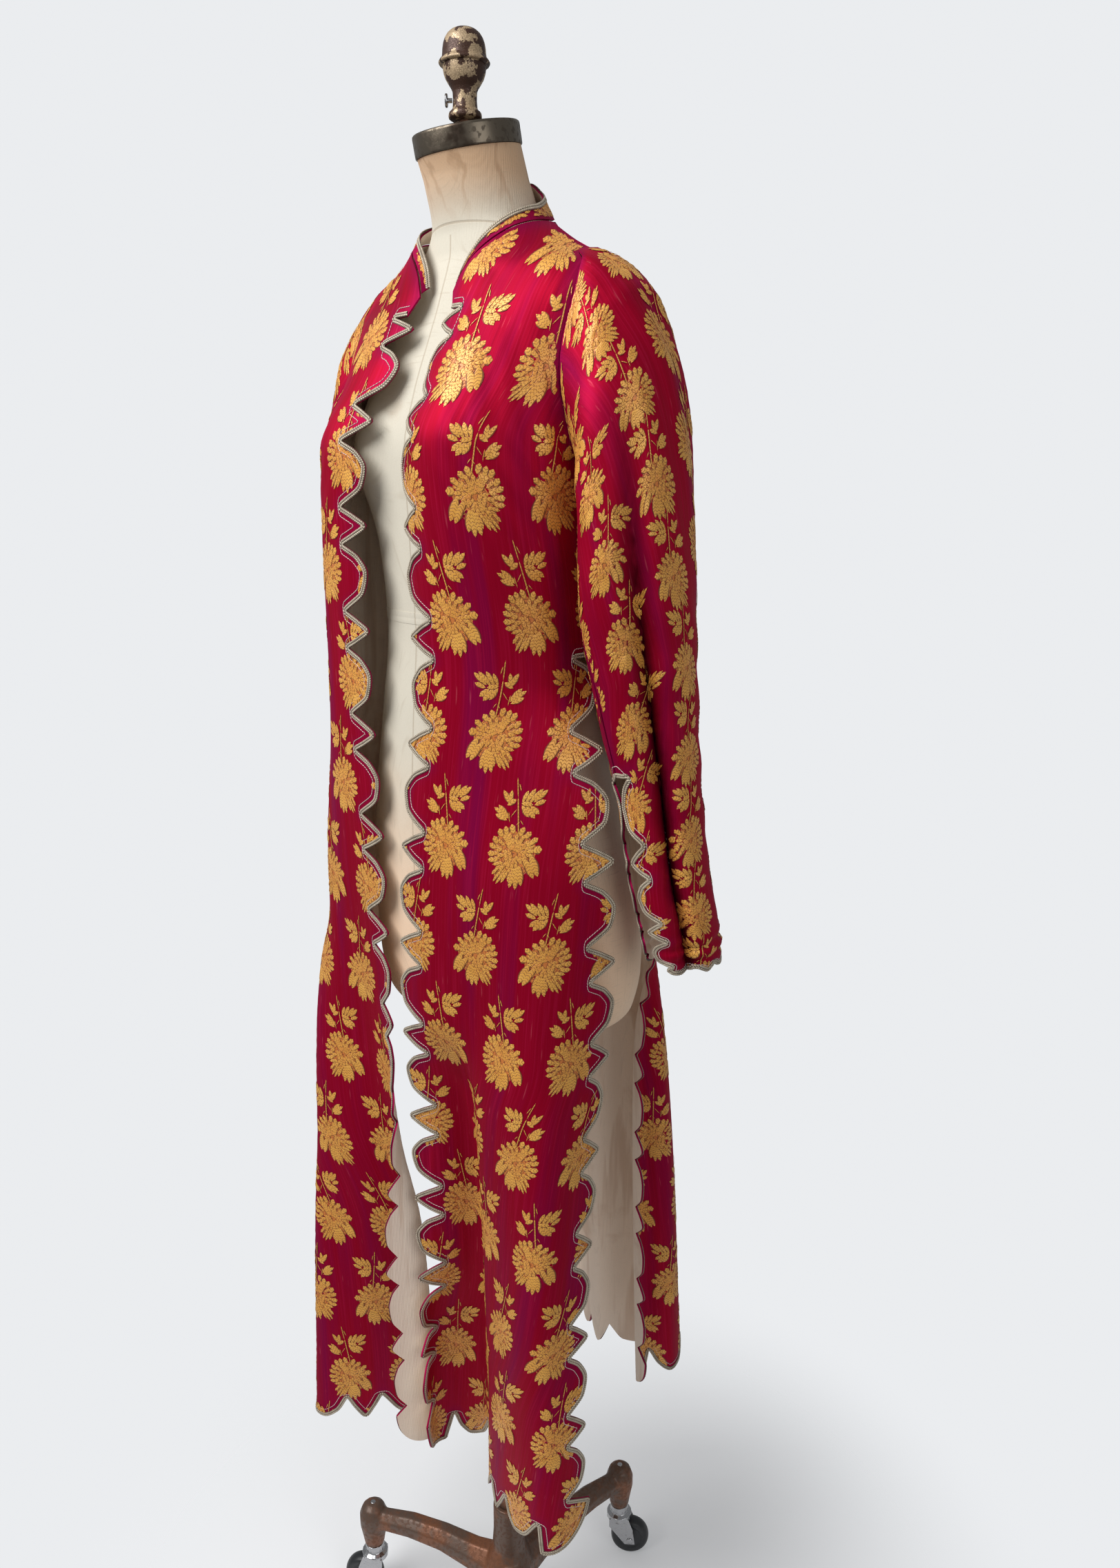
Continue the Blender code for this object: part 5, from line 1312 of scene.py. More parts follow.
def place_blossoms(name, sheet, centres, to_flat=None, scale=1.0):
    """Lays a blossom at each centre and keeps the petals that are on the cloth."""
    points, facts, faces, tones = BLOSSOM
    flats, all_facts, all_faces, all_tones = [], [], [], []
    for run, z, mirrored, *turn in centres:
        way = -1 if mirrored else 1
        angle = turn[0] if turn else 0.0
        x, y = points[:, 0] * way * scale, points[:, 1] * scale
        c, s = math.cos(angle), math.sin(angle)
        spun = np.stack([x * c - y * s, x * s + y * c], axis=1)
        all_faces.append((faces if way > 0 else faces[:, ::-1]) + len(flats) * len(points))
        flats.append(spun + (run, z))
        all_facts.append(facts)
        all_tones.append(tones)
    flat, facts, faces = np.concatenate(flats), np.concatenate(all_facts), np.concatenate(all_faces)
    tones = np.concatenate(all_tones)
    if to_flat is not None:
        flat = to_flat(flat)
    kept = inside(flat, sheet.rim)
    kept[kept] &= edge_distance(flat[kept], sheet.rim) > EDGE_CLEAR
    faces = faces[kept[faces].all(axis=1)]
    if sheet.turned:
        faces = faces[:, ::-1]
    used = np.unique(faces)
    renumber = np.full(len(flat), -1)
    renumber[used] = np.arange(len(used))
    spots, _ = sheet.lay(flat[used], facts[used, 2] + PETAL_CLEAR)
    made = make_mesh(f"blossoms_{name}", spots, renumber[faces], (PETALS,), uv=facts[used, :2],
                     numbers={"tone": tones[used]}, smooth_angle=80)
    place_piece(made, "form", "silk")
    print(name, len(centres), "blossoms,", len(faces), "triangles", round(time.time() - started, 1), "s")
    return made


for name, origin in (("front_left", (0.131, 1.090)), ("front_right", (0.060, 0.912)), ("back", (-0.105, 0.553))):
    place_blossoms(name, sheets[name], lattice(sheets[name], origin))

# %% Blossoms on the sleeves
def from_sleeve_pattern(points):
    """Turns a sleeve's true lengths back to its flat run and height."""
    rows = np.interp(-points[:, 1], SLEEVE_DOWN, SLEEVE_RINGS)
    width = np.interp(rows, SLEEVE_RINGS, SLEEVE_WIDTHS)
    return np.stack([(points[:, 0] / width + 0.5) * SLEEVE_GIRTH, (1 - rows) * SLEEVE_PITCH], axis=1)


SLEEVE_COLUMN, SLEEVE_ROW, SLEEVE_FIRST = 0.064, 0.080, 0.045
SLEEVE_TILT, SLEEVE_SCALE = -0.42, 0.86


def sleeve_centres():
    """Columns of blossoms down the arm: tilted ones and upright mirrored ones by turns."""
    found = []
    for column in range(-4, 5):
        for row in range(-1, 9):
            upright = column % 2
            down = SLEEVE_FIRST + row * SLEEVE_ROW + upright * SLEEVE_ROW / 2
            found.append((column * SLEEVE_COLUMN, -down, upright, 0.0 if upright else SLEEVE_TILT))
    return found


for name in ("sleeve_left", "sleeve_right"):
    place_blossoms(name, sheets[name], sleeve_centres(), from_sleeve_pattern, SLEEVE_SCALE)
place_blossoms("collar", sheets["collar"], [
    (run, 0.012 + 0.012 * (n % 2), n % 2) for n, run in enumerate(np.arange(0.02, COLLAR_LENGTH, 0.055))])

# %% [markdown]
# ## Plaited braid and couched cord
# The braid is a flat core with strands crossing over it like a herringbone. Its strands are thousands of
# equal beads along a path, which is work for Geometry Nodes: the path's points carry the direction of
# travel and the cloth's direction, and the tree turns one bead to each of them. The same tree makes the
# couched cord from longer and thinner stitches. Each result is turned into a plain mesh afterwards.

# %% Paths inside the edge
EDGE_STEP = 0.0008


def travel(spots):
    """The direction of travel at each point of a path."""
    heading = np.gradient(spots, axis=0)
    return heading / np.linalg.norm(heading, axis=1)[:, None]


def inset_path(rim, inset, step, smoothing):
    """A path that runs a little way inside an open stretch of edge, evenly spaced."""
    points = []
    for a, b in zip(rim[:-1], rim[1:]):
        count = max(1, math.ceil(np.linalg.norm(b - a) / EDGE_STEP))
        points += [a + (b - a) * k / count for k in range(count)]
    points = np.array([*points, rim[-1]])
    heading = travel(points)
    path = points + np.stack([-heading[:, 1], heading[:, 0]], axis=1) * inset
    path = path[edge_distance(path, points, EDGE_STEP) > inset * 0.96]
    for _ in range(smoothing):
        path[1:-1] = path[1:-1] * 0.5 + (path[:-2] + path[2:]) * 0.25
    marks = distances(path)
    even = np.linspace(0, marks[-1], max(2, round(marks[-1] / step)) + 1)
    return np.stack([np.interp(even, marks, path[:, k]) for k in (0, 1)], axis=1)


# %% The bead tree
def make_bead_tree():
    """Geometry Nodes: one bead on each point, turned to the point's own directions, as real mesh."""
    tree = bpy.data.node_groups.new("beads along a path", "GeometryNodeTree")
    face = tree.interface
    face.new_socket("Geometry", in_out="INPUT", socket_type="NodeSocketGeometry")
    sockets = {"Geometry": tree.nodes.new("NodeGroupInput").outputs["Geometry"]}
    given = tree.nodes["Group Input"]
    for title, kind, value in (("Bead length", "NodeSocketFloat", 0.0036), ("Bead width", "NodeSocketFloat", 0.0018),
                               ("Bead height", "NodeSocketFloat", 0.001), ("Slant", "NodeSocketFloat", 0.6),
                               ("Finish", "NodeSocketMaterial", None)):
        socket = face.new_socket(title, in_out="INPUT", socket_type=kind)
        if value is not None:
            socket.default_value = value
        sockets[title] = given.outputs[title]
    face.new_socket("Geometry", in_out="OUTPUT", socket_type="NodeSocketGeometry")
    out = tree.nodes.new("NodeGroupOutput")
    bead = add(tree, "GeometryNodeMeshUVSphere", (), Radius=0.5, Segments=6, Rings=4)
    size = add(tree, "ShaderNodeCombineXYZ", (), X=sockets["Bead length"], Y=sockets["Bead width"],
               Z=sockets["Bead height"])
    shaped = add(tree, "GeometryNodeTransform", (), Geometry=bead.outputs[0], Scale=size.outputs[0])
    along = add(tree, "GeometryNodeInputNamedAttribute", {"data_type": "FLOAT_VECTOR"}, Name="along")
    up = add(tree, "GeometryNodeInputNamedAttribute", {"data_type": "FLOAT_VECTOR"}, Name="up")
    hand = add(tree, "GeometryNodeInputNamedAttribute", {"data_type": "FLOAT"}, Name="hand")
    angle = math_node(tree, "MULTIPLY", sockets["Slant"], hand.outputs[0])
    slanted = add(tree, "ShaderNodeVectorRotate", {"rotation_type": "AXIS_ANGLE"}, Vector=along.outputs[0],
                  Axis=up.outputs[0], Angle=angle)
    turn = tree.nodes.new("FunctionNodeAxesToRotation")
    turn.primary_axis, turn.secondary_axis = "Z", "X"
    tree.links.new(up.outputs[0], turn.inputs[0])
    tree.links.new(slanted.outputs[0], turn.inputs[1])
    spread = add(tree, "GeometryNodeInstanceOnPoints", (), Points=sockets["Geometry"], Instance=shaped.outputs[0],
                 Rotation=turn.outputs[0])
    real = add(tree, "GeometryNodeRealizeInstances", (), Geometry=spread.outputs[0])
    soft = add(tree, "GeometryNodeSetShadeSmooth", (), i0=real.outputs[0])
    done = add(tree, "GeometryNodeSetMaterial", (), Geometry=soft.outputs[0], Material=sockets["Finish"])
    tree.links.new(done.outputs[0], out.inputs[0])
    return tree


BEADS = make_bead_tree()


def shown_mesh(source):
    """A plain mesh of what an object shows, with its modifiers applied."""
    bpy.context.view_layer.update()
    return bpy.data.meshes.new_from_object(source.evaluated_get(bpy.context.evaluated_depsgraph_get()))


def run_tree(tree, source, name, **values):
    """Runs a tree on a mesh of points, and gives back the result as a plain mesh object."""
    modifier = source.modifiers.new("nodes", "NODES")
    modifier.node_group = tree
    for item in tree.interface.items_tree:
        if item.in_out == "INPUT" and item.name.replace(" ", "_") in values:
            modifier[item.identifier] = values[item.name.replace(" ", "_")]
    mesh = shown_mesh(source)
    bpy.data.objects.remove(source)
    for key in ("along", "up", "hand"):
        if key in mesh.attributes:
            mesh.attributes.remove(mesh.attributes[key])
    mesh.name = name
    return link_object(name, mesh)


def bead_points(spots, along, up, hand):
    """Loose points that carry each bead's directions and the hand that it slants to."""
    mesh = bpy.data.meshes.new("bead points")
    mesh.from_pydata((spots + CENTRE).tolist(), [], [])
    for key, values in (("along", along), ("up", up)):
        mesh.attributes.new(key, "FLOAT_VECTOR", "POINT").data.foreach_set("vector", values.ravel())
    mesh.attributes.new("hand", "FLOAT", "POINT").data.foreach_set("value", hand)
    return link_object("bead points", mesh)


print("bead tree nodes:", len(BEADS.nodes))

# %% Braid along each edge
BRAID_CORE = ((-1.0, 0.05), (-0.86, 0.60), (-0.4, 0.92), (0.4, 0.92), (0.86, 0.60), (1.0, 0.05))
BRAID_INSET, BRAID_SMOOTHING = 0.0019, 3
CORE_STEP = 0.0013
# The strands: how far apart along the braid, how far out from its middle, and how high over the cloth
STRAND_PITCH, STRAND_OUT, STRAND_LIFT = 0.0021, 0.00118, 0.0008
COUCHING_INSET, COUCHING_PITCH, COUCHING_LIFT, COUCHING_SMOOTHING = 0.0085, 0.0030, 0.00025, 8


def braid_core(name, spots, along, up):
    """The flat core under the strands: a soft-cornered strip along the path, dark with the gaps' painted shade."""
    side = np.cross(up, along)
    rings = [spots + side * (s * BRAID_WIDTH / 2) + up * (h / 1000) for s, h in BRAID_CORE]
    points = np.stack(rings, axis=1).reshape(-1, 3)
    size, faces = len(BRAID_CORE), []
    for i in range(len(spots) - 1):
        for j in range(size):
            a, b = i * size + j, i * size + (j + 1) % size
            faces.append((a, b, b + size, a + size))
    faces += [tuple(range(size))[::-1], tuple(len(points) - size + j for j in range(size))]
    return make_mesh(name, points, faces, (GAP_SHADE_CORE,), smooth_angle=80)


def add_braid(name, sheet, rim):
    """The braid's core and its two rows of strands, which slant towards each other."""
    spots, up = sheet.lay(inset_path(rim, BRAID_INSET, CORE_STEP, BRAID_SMOOTHING))
    core = braid_core(f"braid_core_{name}", spots, travel(spots), up)
    path = inset_path(rim, BRAID_INSET, STRAND_PITCH, BRAID_SMOOTHING)
    spots, up = sheet.lay(path, STRAND_LIFT)
    along = travel(spots)
    side = np.cross(up, along)
    hands = np.concatenate([np.full(len(spots), 1.0), np.full(len(spots), -1.0)])
    spots = np.concatenate([spots + side * STRAND_OUT, spots - side * STRAND_OUT + along * STRAND_PITCH / 2])
    points = bead_points(spots, np.concatenate([along, along]), np.concatenate([up, up]), -hands)
    strands = run_tree(BEADS, points, f"braid_strands_{name}", Bead_length=0.0035, Bead_width=0.0019,
                       Bead_height=0.0012, Slant=0.62, Finish=SILVER)
    place_piece(core, "form", "silver_braid", f"braid_{name}")
    place_piece(strands, "form", "silver_braid")
    print("braid", name, round(len(path) * STRAND_PITCH, 2), "m,", len(strands.data.polygons), "faces")
    return [core, strands]


def add_couching(name, sheet, rim):
    """The thin cord inside the braid, as a row of long stitches."""
    path = inset_path(rim, COUCHING_INSET, COUCHING_PITCH, COUCHING_SMOOTHING)
    spots, up = sheet.lay(path, COUCHING_LIFT)
    points = bead_points(spots, travel(spots), up, np.ones(len(spots)))
    made = run_tree(BEADS, points, f"couching_{name}", Bead_length=0.0038, Bead_width=0.0009, Bead_height=0.0007,
                    Slant=0.12, Finish=ROSY)
    return place_piece(made, "form", "silver_braid")


trimmings = {}
for name, sheet in sheets.items():
    rim = sheet.rim[braided[name]]
    trimmings[name] = add_braid(name, sheet, rim)
    if name != "collar":
        trimmings[name].append(add_couching(name, sheet, rim))
print("braids done", round(time.time() - started, 1), "s")

# %% [markdown]
# ## Form and stand
# The frame's form and hardware are true in size but faceted. Turned parts are spun again from their own
# profiles with many more sides, and the form is lofted again from its table. The cast base and the caster
# forks are copies of the frame's meshes, melted into even small faces and relaxed. New pieces take over
# the frame's nodes.

# %% Linen of the form
NECK_SEAM_Z, NECK_TAN_Z = 1.630, 1.640


def make_linen():
    """Cream linen, tanned at the neck with tide lines, with a seam down the front and round the neck, and painted
    warm reflection low down.
    """
    material, tree, shader = new_material("form linen", Sheen_Weight=0.08)
    room = object_place(tree)
    x, y, z = add(tree, "ShaderNodeSeparateXYZ", (), Vector=room).outputs
    weave = use_group(tree, WEAVE, Vector=room, Threads_per_metre=900.0, Slub=0.5)
    blotch = use_group(tree, BLOTCHES, Vector=room, Patches_per_metre=6.0, Cover=0.48)
    ground = tint(tree, (0.62, 0.575, 0.475), blotch["Patches"], 0.45, (0.50, 0.40, 0.29))
    neck = ramp(tree, z, NECK_TAN_Z, 1.700)
    ground = tint(tree, ground, neck, 0.85, (0.62, 0.38, 0.205))
    # Painted reflection: the lower form turns warm brown, standing for light thrown back from the crimson coat
    low = minus(tree, 1.0, ramp(tree, z, 0.95, 1.20))
    ground = tint(tree, ground, low, 0.8, (0.92, 0.64, 0.43))
    wander = noise(tree, stretched(tree, room, (26.0, 26.0, 9.0)), detail=3.0)
    tide = minus(tree, 1.0, ramp(tree, size_of(tree, minus(tree, wander, 0.52)), 0.006, 0.040))
    ground = tint(tree, ground, tide, times(tree, neck, 0.50), (0.38, 0.22, 0.115))
    rise = math_node(tree, "MULTIPLY_ADD", y, 0.18, z)
    front, round_neck = (minus(tree, 1.0, ramp(tree, size_of(tree, off), 0.0004, 0.0014))
                         for off in (x, minus(tree, rise, NECK_SEAM_Z)))
    front = times(tree, front, math_node(tree, "LESS_THAN", z, NECK_TAN_Z))
    seam = math_node(tree, "MAXIMUM", front, round_neck)
    ground = tint(tree, ground, seam, 0.45, (0.33, 0.25, 0.16))
    ground = tint(tree, ground, weave["Slubs"], 0.22, (0.38, 0.31, 0.22))
    height = minus(tree, weave["Height"], times(tree, seam, 4.0))
    finish_with(tree, shader, ground, between(tree, weave["Slubs"], 0.80, 0.94), height, 0.00015, 0.4)
    return material


# %% [markdown]
# ### Metals and rubber
# Old metal is never one tone: brass wears through to bare patches, iron browns and steel keeps fine pits.
# One function makes them all, because only the tones, the size of the patches and the gloss differ.

# %% Metals and rubber
def make_metal(name, bright, dark, rough, cover, metallic=0.9, patches=30.0, pits=0.0002, softness=0.12):
    """A worn metal: a bright tone and a dark one in patches, with specks and small pits."""
    material, tree, shader = new_material(name, Metallic=metallic)
    blotch = use_group(tree, BLOTCHES, Vector=object_place(tree), Patches_per_metre=patches, Cover=cover,
                       Softness=softness)
    ground = mix_colour(tree, blotch["Patches"], bright, dark)
    ground = tint(tree, ground, blotch["Specks"], 0.4, darker(dark, 0.6))
    roughness = between(tree, blotch["Specks"], rough, rough + 0.2)
    finish_with(tree, shader, ground, roughness, blotch["Specks"], pits, 0.5)
    return material


LINEN = make_linen()
PEWTER = make_metal("dark pewter", (0.145, 0.120, 0.090), (0.060, 0.042, 0.030), 0.30, 0.50, 0.85, 14.0, 0.00005)
BRASS = make_metal("mottled brass", (0.52, 0.38, 0.23), (0.060, 0.025, 0.014), 0.32, 0.525, 0.35, 66.0, 0.00008,
                   0.025)
IRON = make_metal("brown iron", (0.115, 0.072, 0.052), (0.20, 0.078, 0.036), 0.42, 0.52, 0.35, 16.0)
STEEL = make_metal("bright steel", (0.44, 0.44, 0.45), (0.20, 0.19, 0.19), 0.20, 0.42, 1.0, 60.0, 0.00005)
RUBBER = make_metal("black rubber", (0.014, 0.015, 0.017), (0.03, 0.03, 0.03), 0.42, 0.40, 0.0, 60.0)
print("made", [finish.name for finish in (LINEN, PEWTER, BRASS, IRON, STEEL, RUBBER)])


# %% Turned and lofted shapes
def ring_faces(rings, sides):
    """Quads of a tube of equal rings that run anticlockwise and upward, with both ends closed."""
    faces = []
    for i in range(rings - 1):
        for j in range(sides):
            k = (j + 1) % sides
            faces.append((i * sides + j, i * sides + k, (i + 1) * sides + k, (i + 1) * sides + j))
    return faces + [tuple(range(sides))[::-1], tuple((rings - 1) * sides + j for j in range(sides))]


def softened(profile, radius=0.0006):
    """A turned profile with each corner cut back a little, so that its edges catch the light."""
    points = [np.array(p, float) for p in profile]
    out = [points[0]]
    for before, here, after in zip(points, points[1:], points[2:]):
        for other in (before, after):
            reach = min(radius, np.linalg.norm(other - here) * 0.4)
            out.append(here + (other - here) / np.linalg.norm(other - here) * reach)
            if other is before:
                out.append(None)
        near, far = out[-3], out[-1]
        out[-2] = near * 0.25 + here * 0.5 + far * 0.25
    return [*out, points[-1]]


def lathe(name, profile, centre, finish, sides=72, axis=(0, 0, 1), smooth_angle=35):
    """Spins (radius, height) pairs about an axis. Heights run along the axis from the centre."""
    up = np.array(axis, float) / np.linalg.norm(axis)
    right = np.cross(up, (0, 1, 0) if abs(up[1]) < 0.9 else (1, 0, 0))
    right /= np.linalg.norm(right)
    ahead = np.cross(up, right)
    turns = 2 * math.pi * np.arange(sides) / sides
    circle = np.cos(turns)[:, None] * right + np.sin(turns)[:, None] * ahead
    rings = [np.array(centre) + circle * radius + up * height for radius, height in softened(profile)]
    return make_mesh(name, np.concatenate(rings), ring_faces(len(rings), sides), (finish,), smooth_angle=smooth_angle)


def form_ring(z, sides, grow=1.0):
    """The form's outline at one height: an oval with the bust swelling its front."""
    half, front, rear = smooth([row[0] for row in FORM], np.array([row[1:] for row in FORM]), z)
    middle, depth = (front + rear) / 2, (rear - front) / 2
    turns = 2 * math.pi * np.arange(sides) / sides
    x, y = half * np.cos(turns), middle + depth * np.sin(turns)
    bust = BUST_RISE * math.exp(-((z - BUST_Z) / BUST_TALL) ** 2)
    swell = np.exp(-((np.abs(x) - BUST_APEX_X) / BUST_SPREAD) ** 2)
    y = np.where(y < middle, y + bust * swell * np.sin(turns), y)
    return np.stack([x * grow, middle + (y - middle) * grow, np.full(sides, z)], axis=1)


# %% The form, its tape and its cap
FORM_SIDES = 144
BUST_APEX_X, BUST_Z, BUST_RISE, BUST_SPREAD, BUST_TALL = 0.078, 1.447, 0.024, 0.040, 0.055
NECK_TOP_Z, NECK_CENTRE_Y = 1.7127, -0.0276
CAP_TILT, CAP_HEIGHT = math.radians(12), 0.0195
WAIST_Z, TAPE_WIDTH = 1.288, 0.011


def neck_ring(grow, lift):
    """A ring of the sloping top of the neck, grown sideways and lifted along the slope's own upright."""
    ring = form_ring(NECK_TOP_Z, FORM_SIDES, grow)
    ring[:, 2] = NECK_TOP_Z + (ring[:, 1] - NECK_CENTRE_Y) * math.tan(CAP_TILT)
    return ring + np.array((0.0, -math.sin(CAP_TILT), math.cos(CAP_TILT))) * lift


def make_form():
    """The torso, the tape round its waist and the metal cap on its neck."""
    heights = [*np.linspace(0.872, 0.892, 12), *np.linspace(0.90, 1.55, 60), *np.linspace(1.556, 1.690, 42)]
    rings = [form_ring(z, FORM_SIDES) for z in heights] + [neck_ring(1.0, 0.0)]
    torso = make_mesh("dress_form", np.concatenate(rings), ring_faces(len(rings), FORM_SIDES), (LINEN,))
    place_piece(torso, "form", "linen", "form_torso")
    rings = []
    for rise, out in ((0.0, 1.000), (0.0, 1.004), (0.0035, 1.006), (0.0052, 1.0035), (0.0058, 1.0035),
                      (0.0075, 1.006), (TAPE_WIDTH, 1.004), (TAPE_WIDTH, 1.000)):
        rings.append(form_ring(WAIST_Z + rise, FORM_SIDES, out))
    tape = make_mesh("waist_tape", np.concatenate(rings), ring_faces(len(rings), FORM_SIDES)[:-2], (LINEN,))
    place_piece(tape, "form", "linen")
    cap = [neck_ring(grow, lift) for grow, lift in (
        (1.000, SEAM_GAP), (1.022, SEAM_GAP), (1.030, 0.0009), (1.032, 0.0020), (1.032, 0.0170), (1.026, 0.0186),
        (1.006, CAP_HEIGHT), (0.94, CAP_HEIGHT), (0.6, CAP_HEIGHT), (0.2, CAP_HEIGHT))]
    lid = make_mesh("metal_cap", np.concatenate(cap), ring_faces(len(cap), FORM_SIDES), (PEWTER,))
    place_piece(lid, "form", "pewter", "neck_cap")
    print("form rings", len(heights) + 1, "cap rings", len(cap))


make_form()

# %% The fitting on the neck
UP_SLOPE = np.array((0.0, -math.sin(CAP_TILT), math.cos(CAP_TILT)))
SEAT = np.array((0.0, NECK_CENTRE_Y, NECK_TOP_Z)) + UP_SLOPE * CAP_HEIGHT
FITTING_FOOT = SEAT + (0, 0, 0.0065 + SEAM_GAP)
SCREW_OUT = np.array((math.cos(math.radians(225)), math.sin(math.radians(225)), 0.0))
# Columns: radius, height above the foot
FITTING = ((0.0125, 0.0), (0.0150, 0.0015), (0.0152, 0.0040), (0.0146, 0.0062), (0.0122, 0.0082), (0.0113, 0.0098),
           (0.0108, 0.0160), (0.0111, 0.0232), (0.0124, 0.0262), (0.0150, 0.0300), (0.0174, 0.0340), (0.0188, 0.0380),
           (0.0195, 0.0420), (0.0196, 0.0450))
BELL = ((0.0225, 0.0453), (0.0234, 0.0466), (0.0226, 0.0482), (0.0202, 0.0510), (0.0197, 0.0545), (0.0195, 0.0580),
        (0.0187, 0.0625), (0.0172, 0.0665), (0.0149, 0.0700), (0.0120, 0.0725), (0.0090, 0.0740), (0.0055, 0.0748),
        (0.0010, 0.0750))
stem = [(0.0055, 0.0012), (0.0055, 0.0066)]
place_piece(lathe("fitting_stem", stem, SEAT, IRON, 32), "form", "iron", "finial_stem")
for name, profile, node in (("turned_fitting", FITTING, "finial_body"), ("turned_bell", BELL, "finial_bell")):
    place_piece(lathe(name, profile, FITTING_FOOT, BRASS, 64, smooth_angle=60), "form", "brass", node)
screw = ((0.0020, 0.0), (0.0020, 0.0040), (0.0055, 0.0042), (0.0058, 0.0052), (0.0058, 0.0060), (0.0050, 0.0065))
place_piece(lathe("clamp_screw", screw, FITTING_FOOT + (0, 0, 0.0165) + SCREW_OUT * 0.0115, STEEL, 40, SCREW_OUT),
            "form", "steel", "thumb_screw")

# %% Post and flange
FORM_BOTTOM_Z, POST_R, POST_FOOT_Z = 0.872, 0.0125, 0.060
flange = ((0.0440, -0.0100), (0.0450, -0.0090), (0.0450, -0.0020), (0.0430, -SEAM_GAP))
place_piece(lathe("round_flange", flange, (0, 0, FORM_BOTTOM_Z), IRON), "form", "iron", "post_flange")
post = ((POST_R, POST_FOOT_Z), (POST_R, FORM_BOTTOM_Z - 0.0100 - SEAM_GAP))
place_piece(lathe("round_post", post, (0, 0, 0), IRON, 48), "form", "iron", "post")


# %% Cast base and casters
def relaxed_copy(node, name, finish, grain, passes):
    """A copy of a frame piece, melted into small even faces and relaxed so that its edges turn soft."""
    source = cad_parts[node]
    mesh = shown_mesh(source)
    mesh.transform(source.matrix_world)
    made = link_object(name, mesh)
    melt = made.modifiers.new("melt", "REMESH")
    melt.mode, melt.voxel_size, melt.use_smooth_shade = "VOXEL", grain, True
    relax = made.modifiers.new("relax", "SMOOTH")
    relax.factor, relax.iterations = 0.5, passes
    fine = shown_mesh(made)
    bpy.data.objects.remove(made)
    fine.name = name
    fine.materials.clear()
    fine.materials.append(finish)
    fine.shade_smooth()
    print(name, len(fine.polygons), "faces")
    return link_object(name, fine)


LEG_REACH, LEG_ANGLES = 0.190, (85.5, 205.8, 325.6)
CASTER_HEADINGS, CASTER_TRAIL = (40.0, 215.0, 330.0), 0.015
WHEEL_R, WHEEL_WIDTH = 0.0255, 0.019
place_piece(relaxed_copy("base", "cast_base", IRON, 0.0016, 6), "base", "iron", "base")


# %% Wheels, forks and screws
def make_caster(n):
    """A bright fork on its swivel, a black wheel with a rounded tyre, and the axle's two screw heads."""
    angle, heading = math.radians(LEG_ANGLES[n]), math.radians(CASTER_HEADINGS[n])
    pivot = np.array((LEG_REACH * math.cos(angle), LEG_REACH * math.sin(angle), 0.0))
    trail = np.array((math.cos(heading), math.sin(heading), 0.0))
    side = np.array((-math.sin(heading), math.cos(heading), 0.0))
    axle = pivot + trail * CASTER_TRAIL + np.array((0, 0, WHEEL_R))
    half = WHEEL_WIDTH / 2 + 0.0019
    tyre = [(0.0058, -half), (0.0060, -0.0078), (0.0150, -0.0072), (0.0170, -0.0086), (0.0205, -0.0090)]
    tyre += [(0.0205 + 0.0050 * math.cos(t), 0.0090 * math.sin(t)) for t in np.linspace(-1.15, 1.15, 15)]
    tyre += [(r, -h) for r, h in tyre[4::-1]]
    place_piece(lathe(f"rubber_wheel_{n}", tyre, axle, RUBBER, 72, side, 50), f"wheel_{n}", "rubber", f"wheel_{n}")
    fork = relaxed_copy(f"caster_{n}", f"caster_fork_{n}", STEEL, 0.00055, 3)
    place_piece(fork, f"caster_{n}", "steel", f"caster_{n}")
    for hand in (-1, 1):
        head = ((0.0044, 0.0), (0.0044, 0.0008), (0.0030, 0.0015), (0.0008, 0.0017))
        spot = axle + side * hand * (WHEEL_WIDTH / 2 + 0.0041)
        place_piece(lathe(f"axle_head_{n}_{hand + 1}", head, spot, STEEL, 28, side * hand), f"caster_{n}", "steel")
    knob = ((0.0034, 0.0), (0.0034, 0.0006), (0.0028, 0.0011), (0.0006, 0.0012))
    place_piece(lathe(f"knob_screw_{n}", knob, pivot + np.array((0, 0, 0.1362)), STEEL, 24), "base", "steel")


for n in range(len(LEG_ANGLES)):
    make_caster(n)
print("hardware done", round(time.time() - started, 1), "s")

# %% [markdown]
# ## The cut of the coat
# A tailor knows a garment by the flat pieces it was cut from. None of the cloth pieces is a rectangle, so each
# one's area, measured on the hanging cloth, is printed with the size of its box in metres where it is made.

# %% [markdown]
# ## Studio
# A plain pale floor that fades into an equally pale surround, a broad soft key light from the left of the
# camera and a weaker fill from its right.

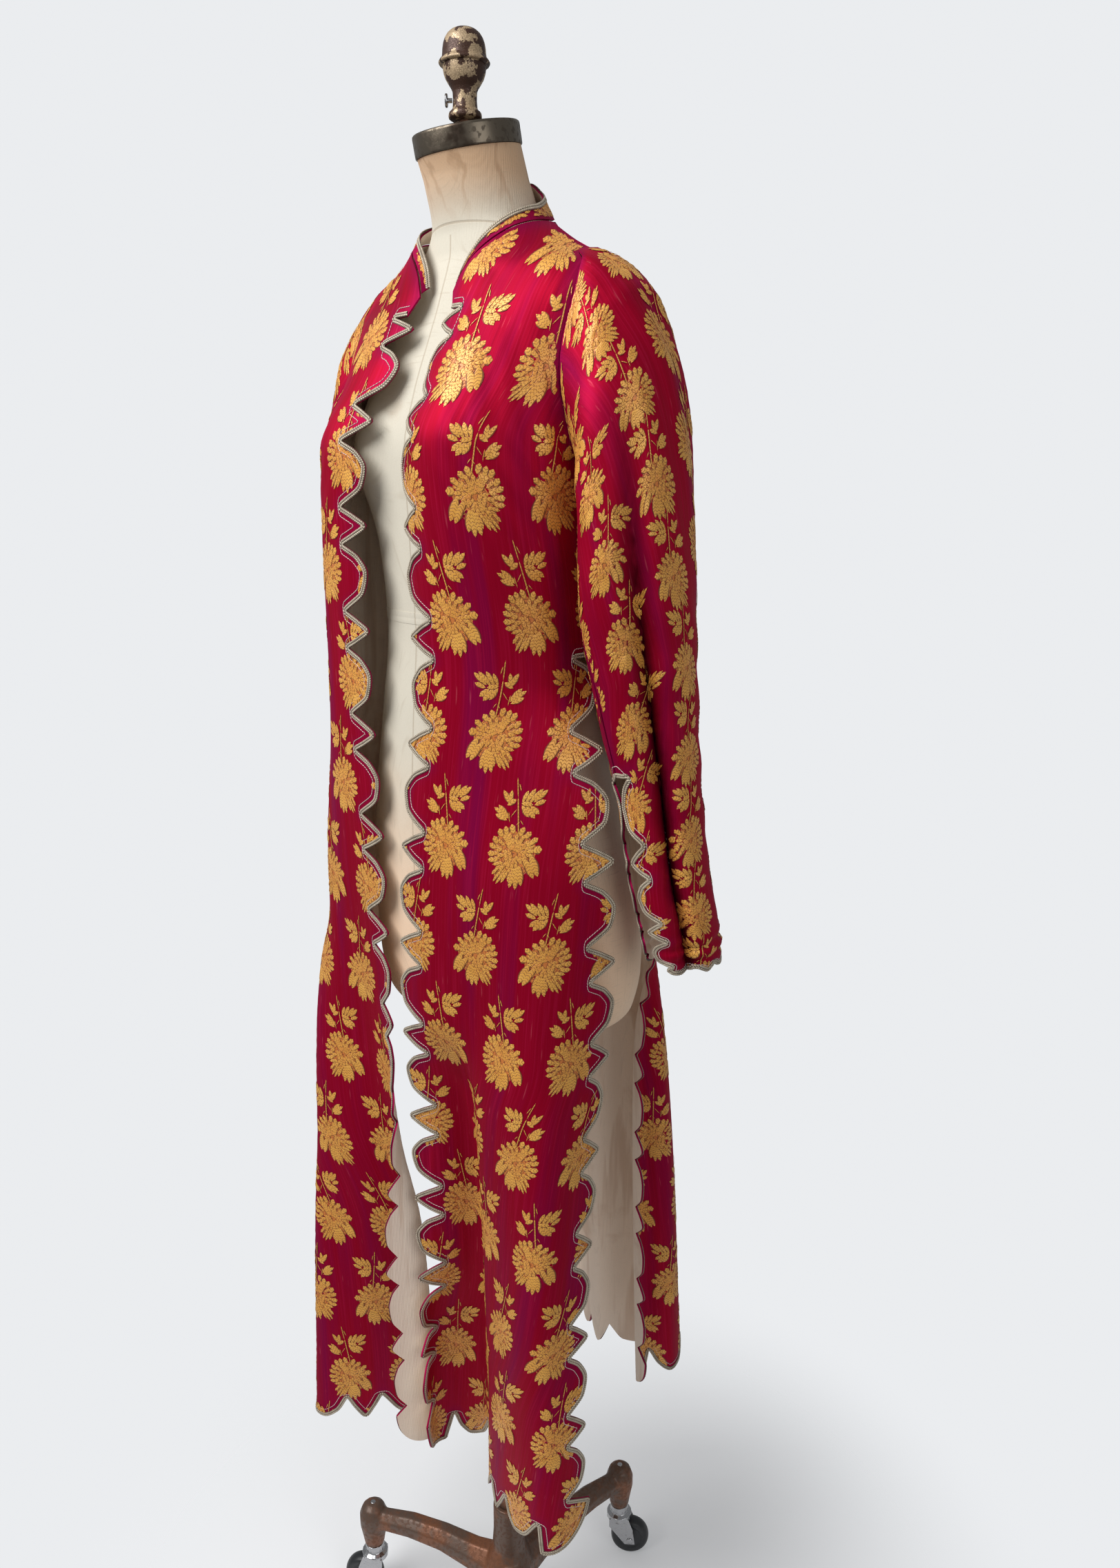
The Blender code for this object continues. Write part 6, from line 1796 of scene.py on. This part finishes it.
# %% Floor, surround and lights
def make_stage():
    """A floor that fades out into the surround, so that no horizon shows."""
    material, tree, shader = new_material("pale floor", Roughness=0.9, Emission_Color=(0.80, 0.81, 0.83, 1.0),
                                          Emission_Strength=0.22)
    far = add(tree, "ShaderNodeVectorMath", {"operation": "LENGTH"}, i0=object_place(tree)).outputs["Value"]
    shader.inputs["Base Color"].default_value = (0.74, 0.75, 0.76, 1.0)
    tree.links.new(minus(tree, 1.0, ramp(tree, far, 0.24, 0.70)), shader.inputs["Alpha"])
    mesh = bpy.data.meshes.new("floor")
    side = 6.0
    mesh.from_pydata([(-side, -side, 0), (side, -side, 0), (side, side, 0), (-side, side, 0)], [], [(0, 1, 2, 3)])
    mesh.materials.append(material)
    link_object("floor", mesh)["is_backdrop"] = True


def make_light(name, location, size, power):
    """A round soft light that looks at the middle of the coat. The size is in metres, the power in watts."""
    light = bpy.data.lights.new(name, "AREA")
    light.shape, light.size, light.energy = "DISK", size, power
    made = link_object(name, light)
    made.location = location
    made.rotation_euler = (COAT_MIDDLE - Vector(location)).to_track_quat("-Z", "Y").to_euler()


COAT_MIDDLE = Vector((0, 0, 1.0))
SURROUND_LIGHT = 0.34
make_stage()
world = bpy.data.worlds.new("studio")
world.use_nodes = True
backdrop = world.node_tree.nodes["Background"]
backdrop.inputs[0].default_value = (0.83, 0.845, 0.865, 1.0)
seen = add(world.node_tree, "ShaderNodeLightPath").outputs["Is Camera Ray"]
world.node_tree.links.new(between(world.node_tree, seen, SURROUND_LIGHT, 1.0), backdrop.inputs[1])
bpy.context.scene.world = world
make_light("key", (-0.45, -2.0, 3.0), 2.3, 94)
make_light("fill", (2.6, -0.6, 1.8), 1.6, 12)
bpy.context.scene.view_settings.view_transform = "Standard"
print("stage and lights ready")

# %% Sizes
both = {"cad": [list(map(float, corner)) for corner in cad_box],
        "visual": [list(map(float, corner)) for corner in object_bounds()]}
print("CAD box", np.round(both["cad"], 4).tolist(), "visual box", np.round(both["visual"], 4).tolist())
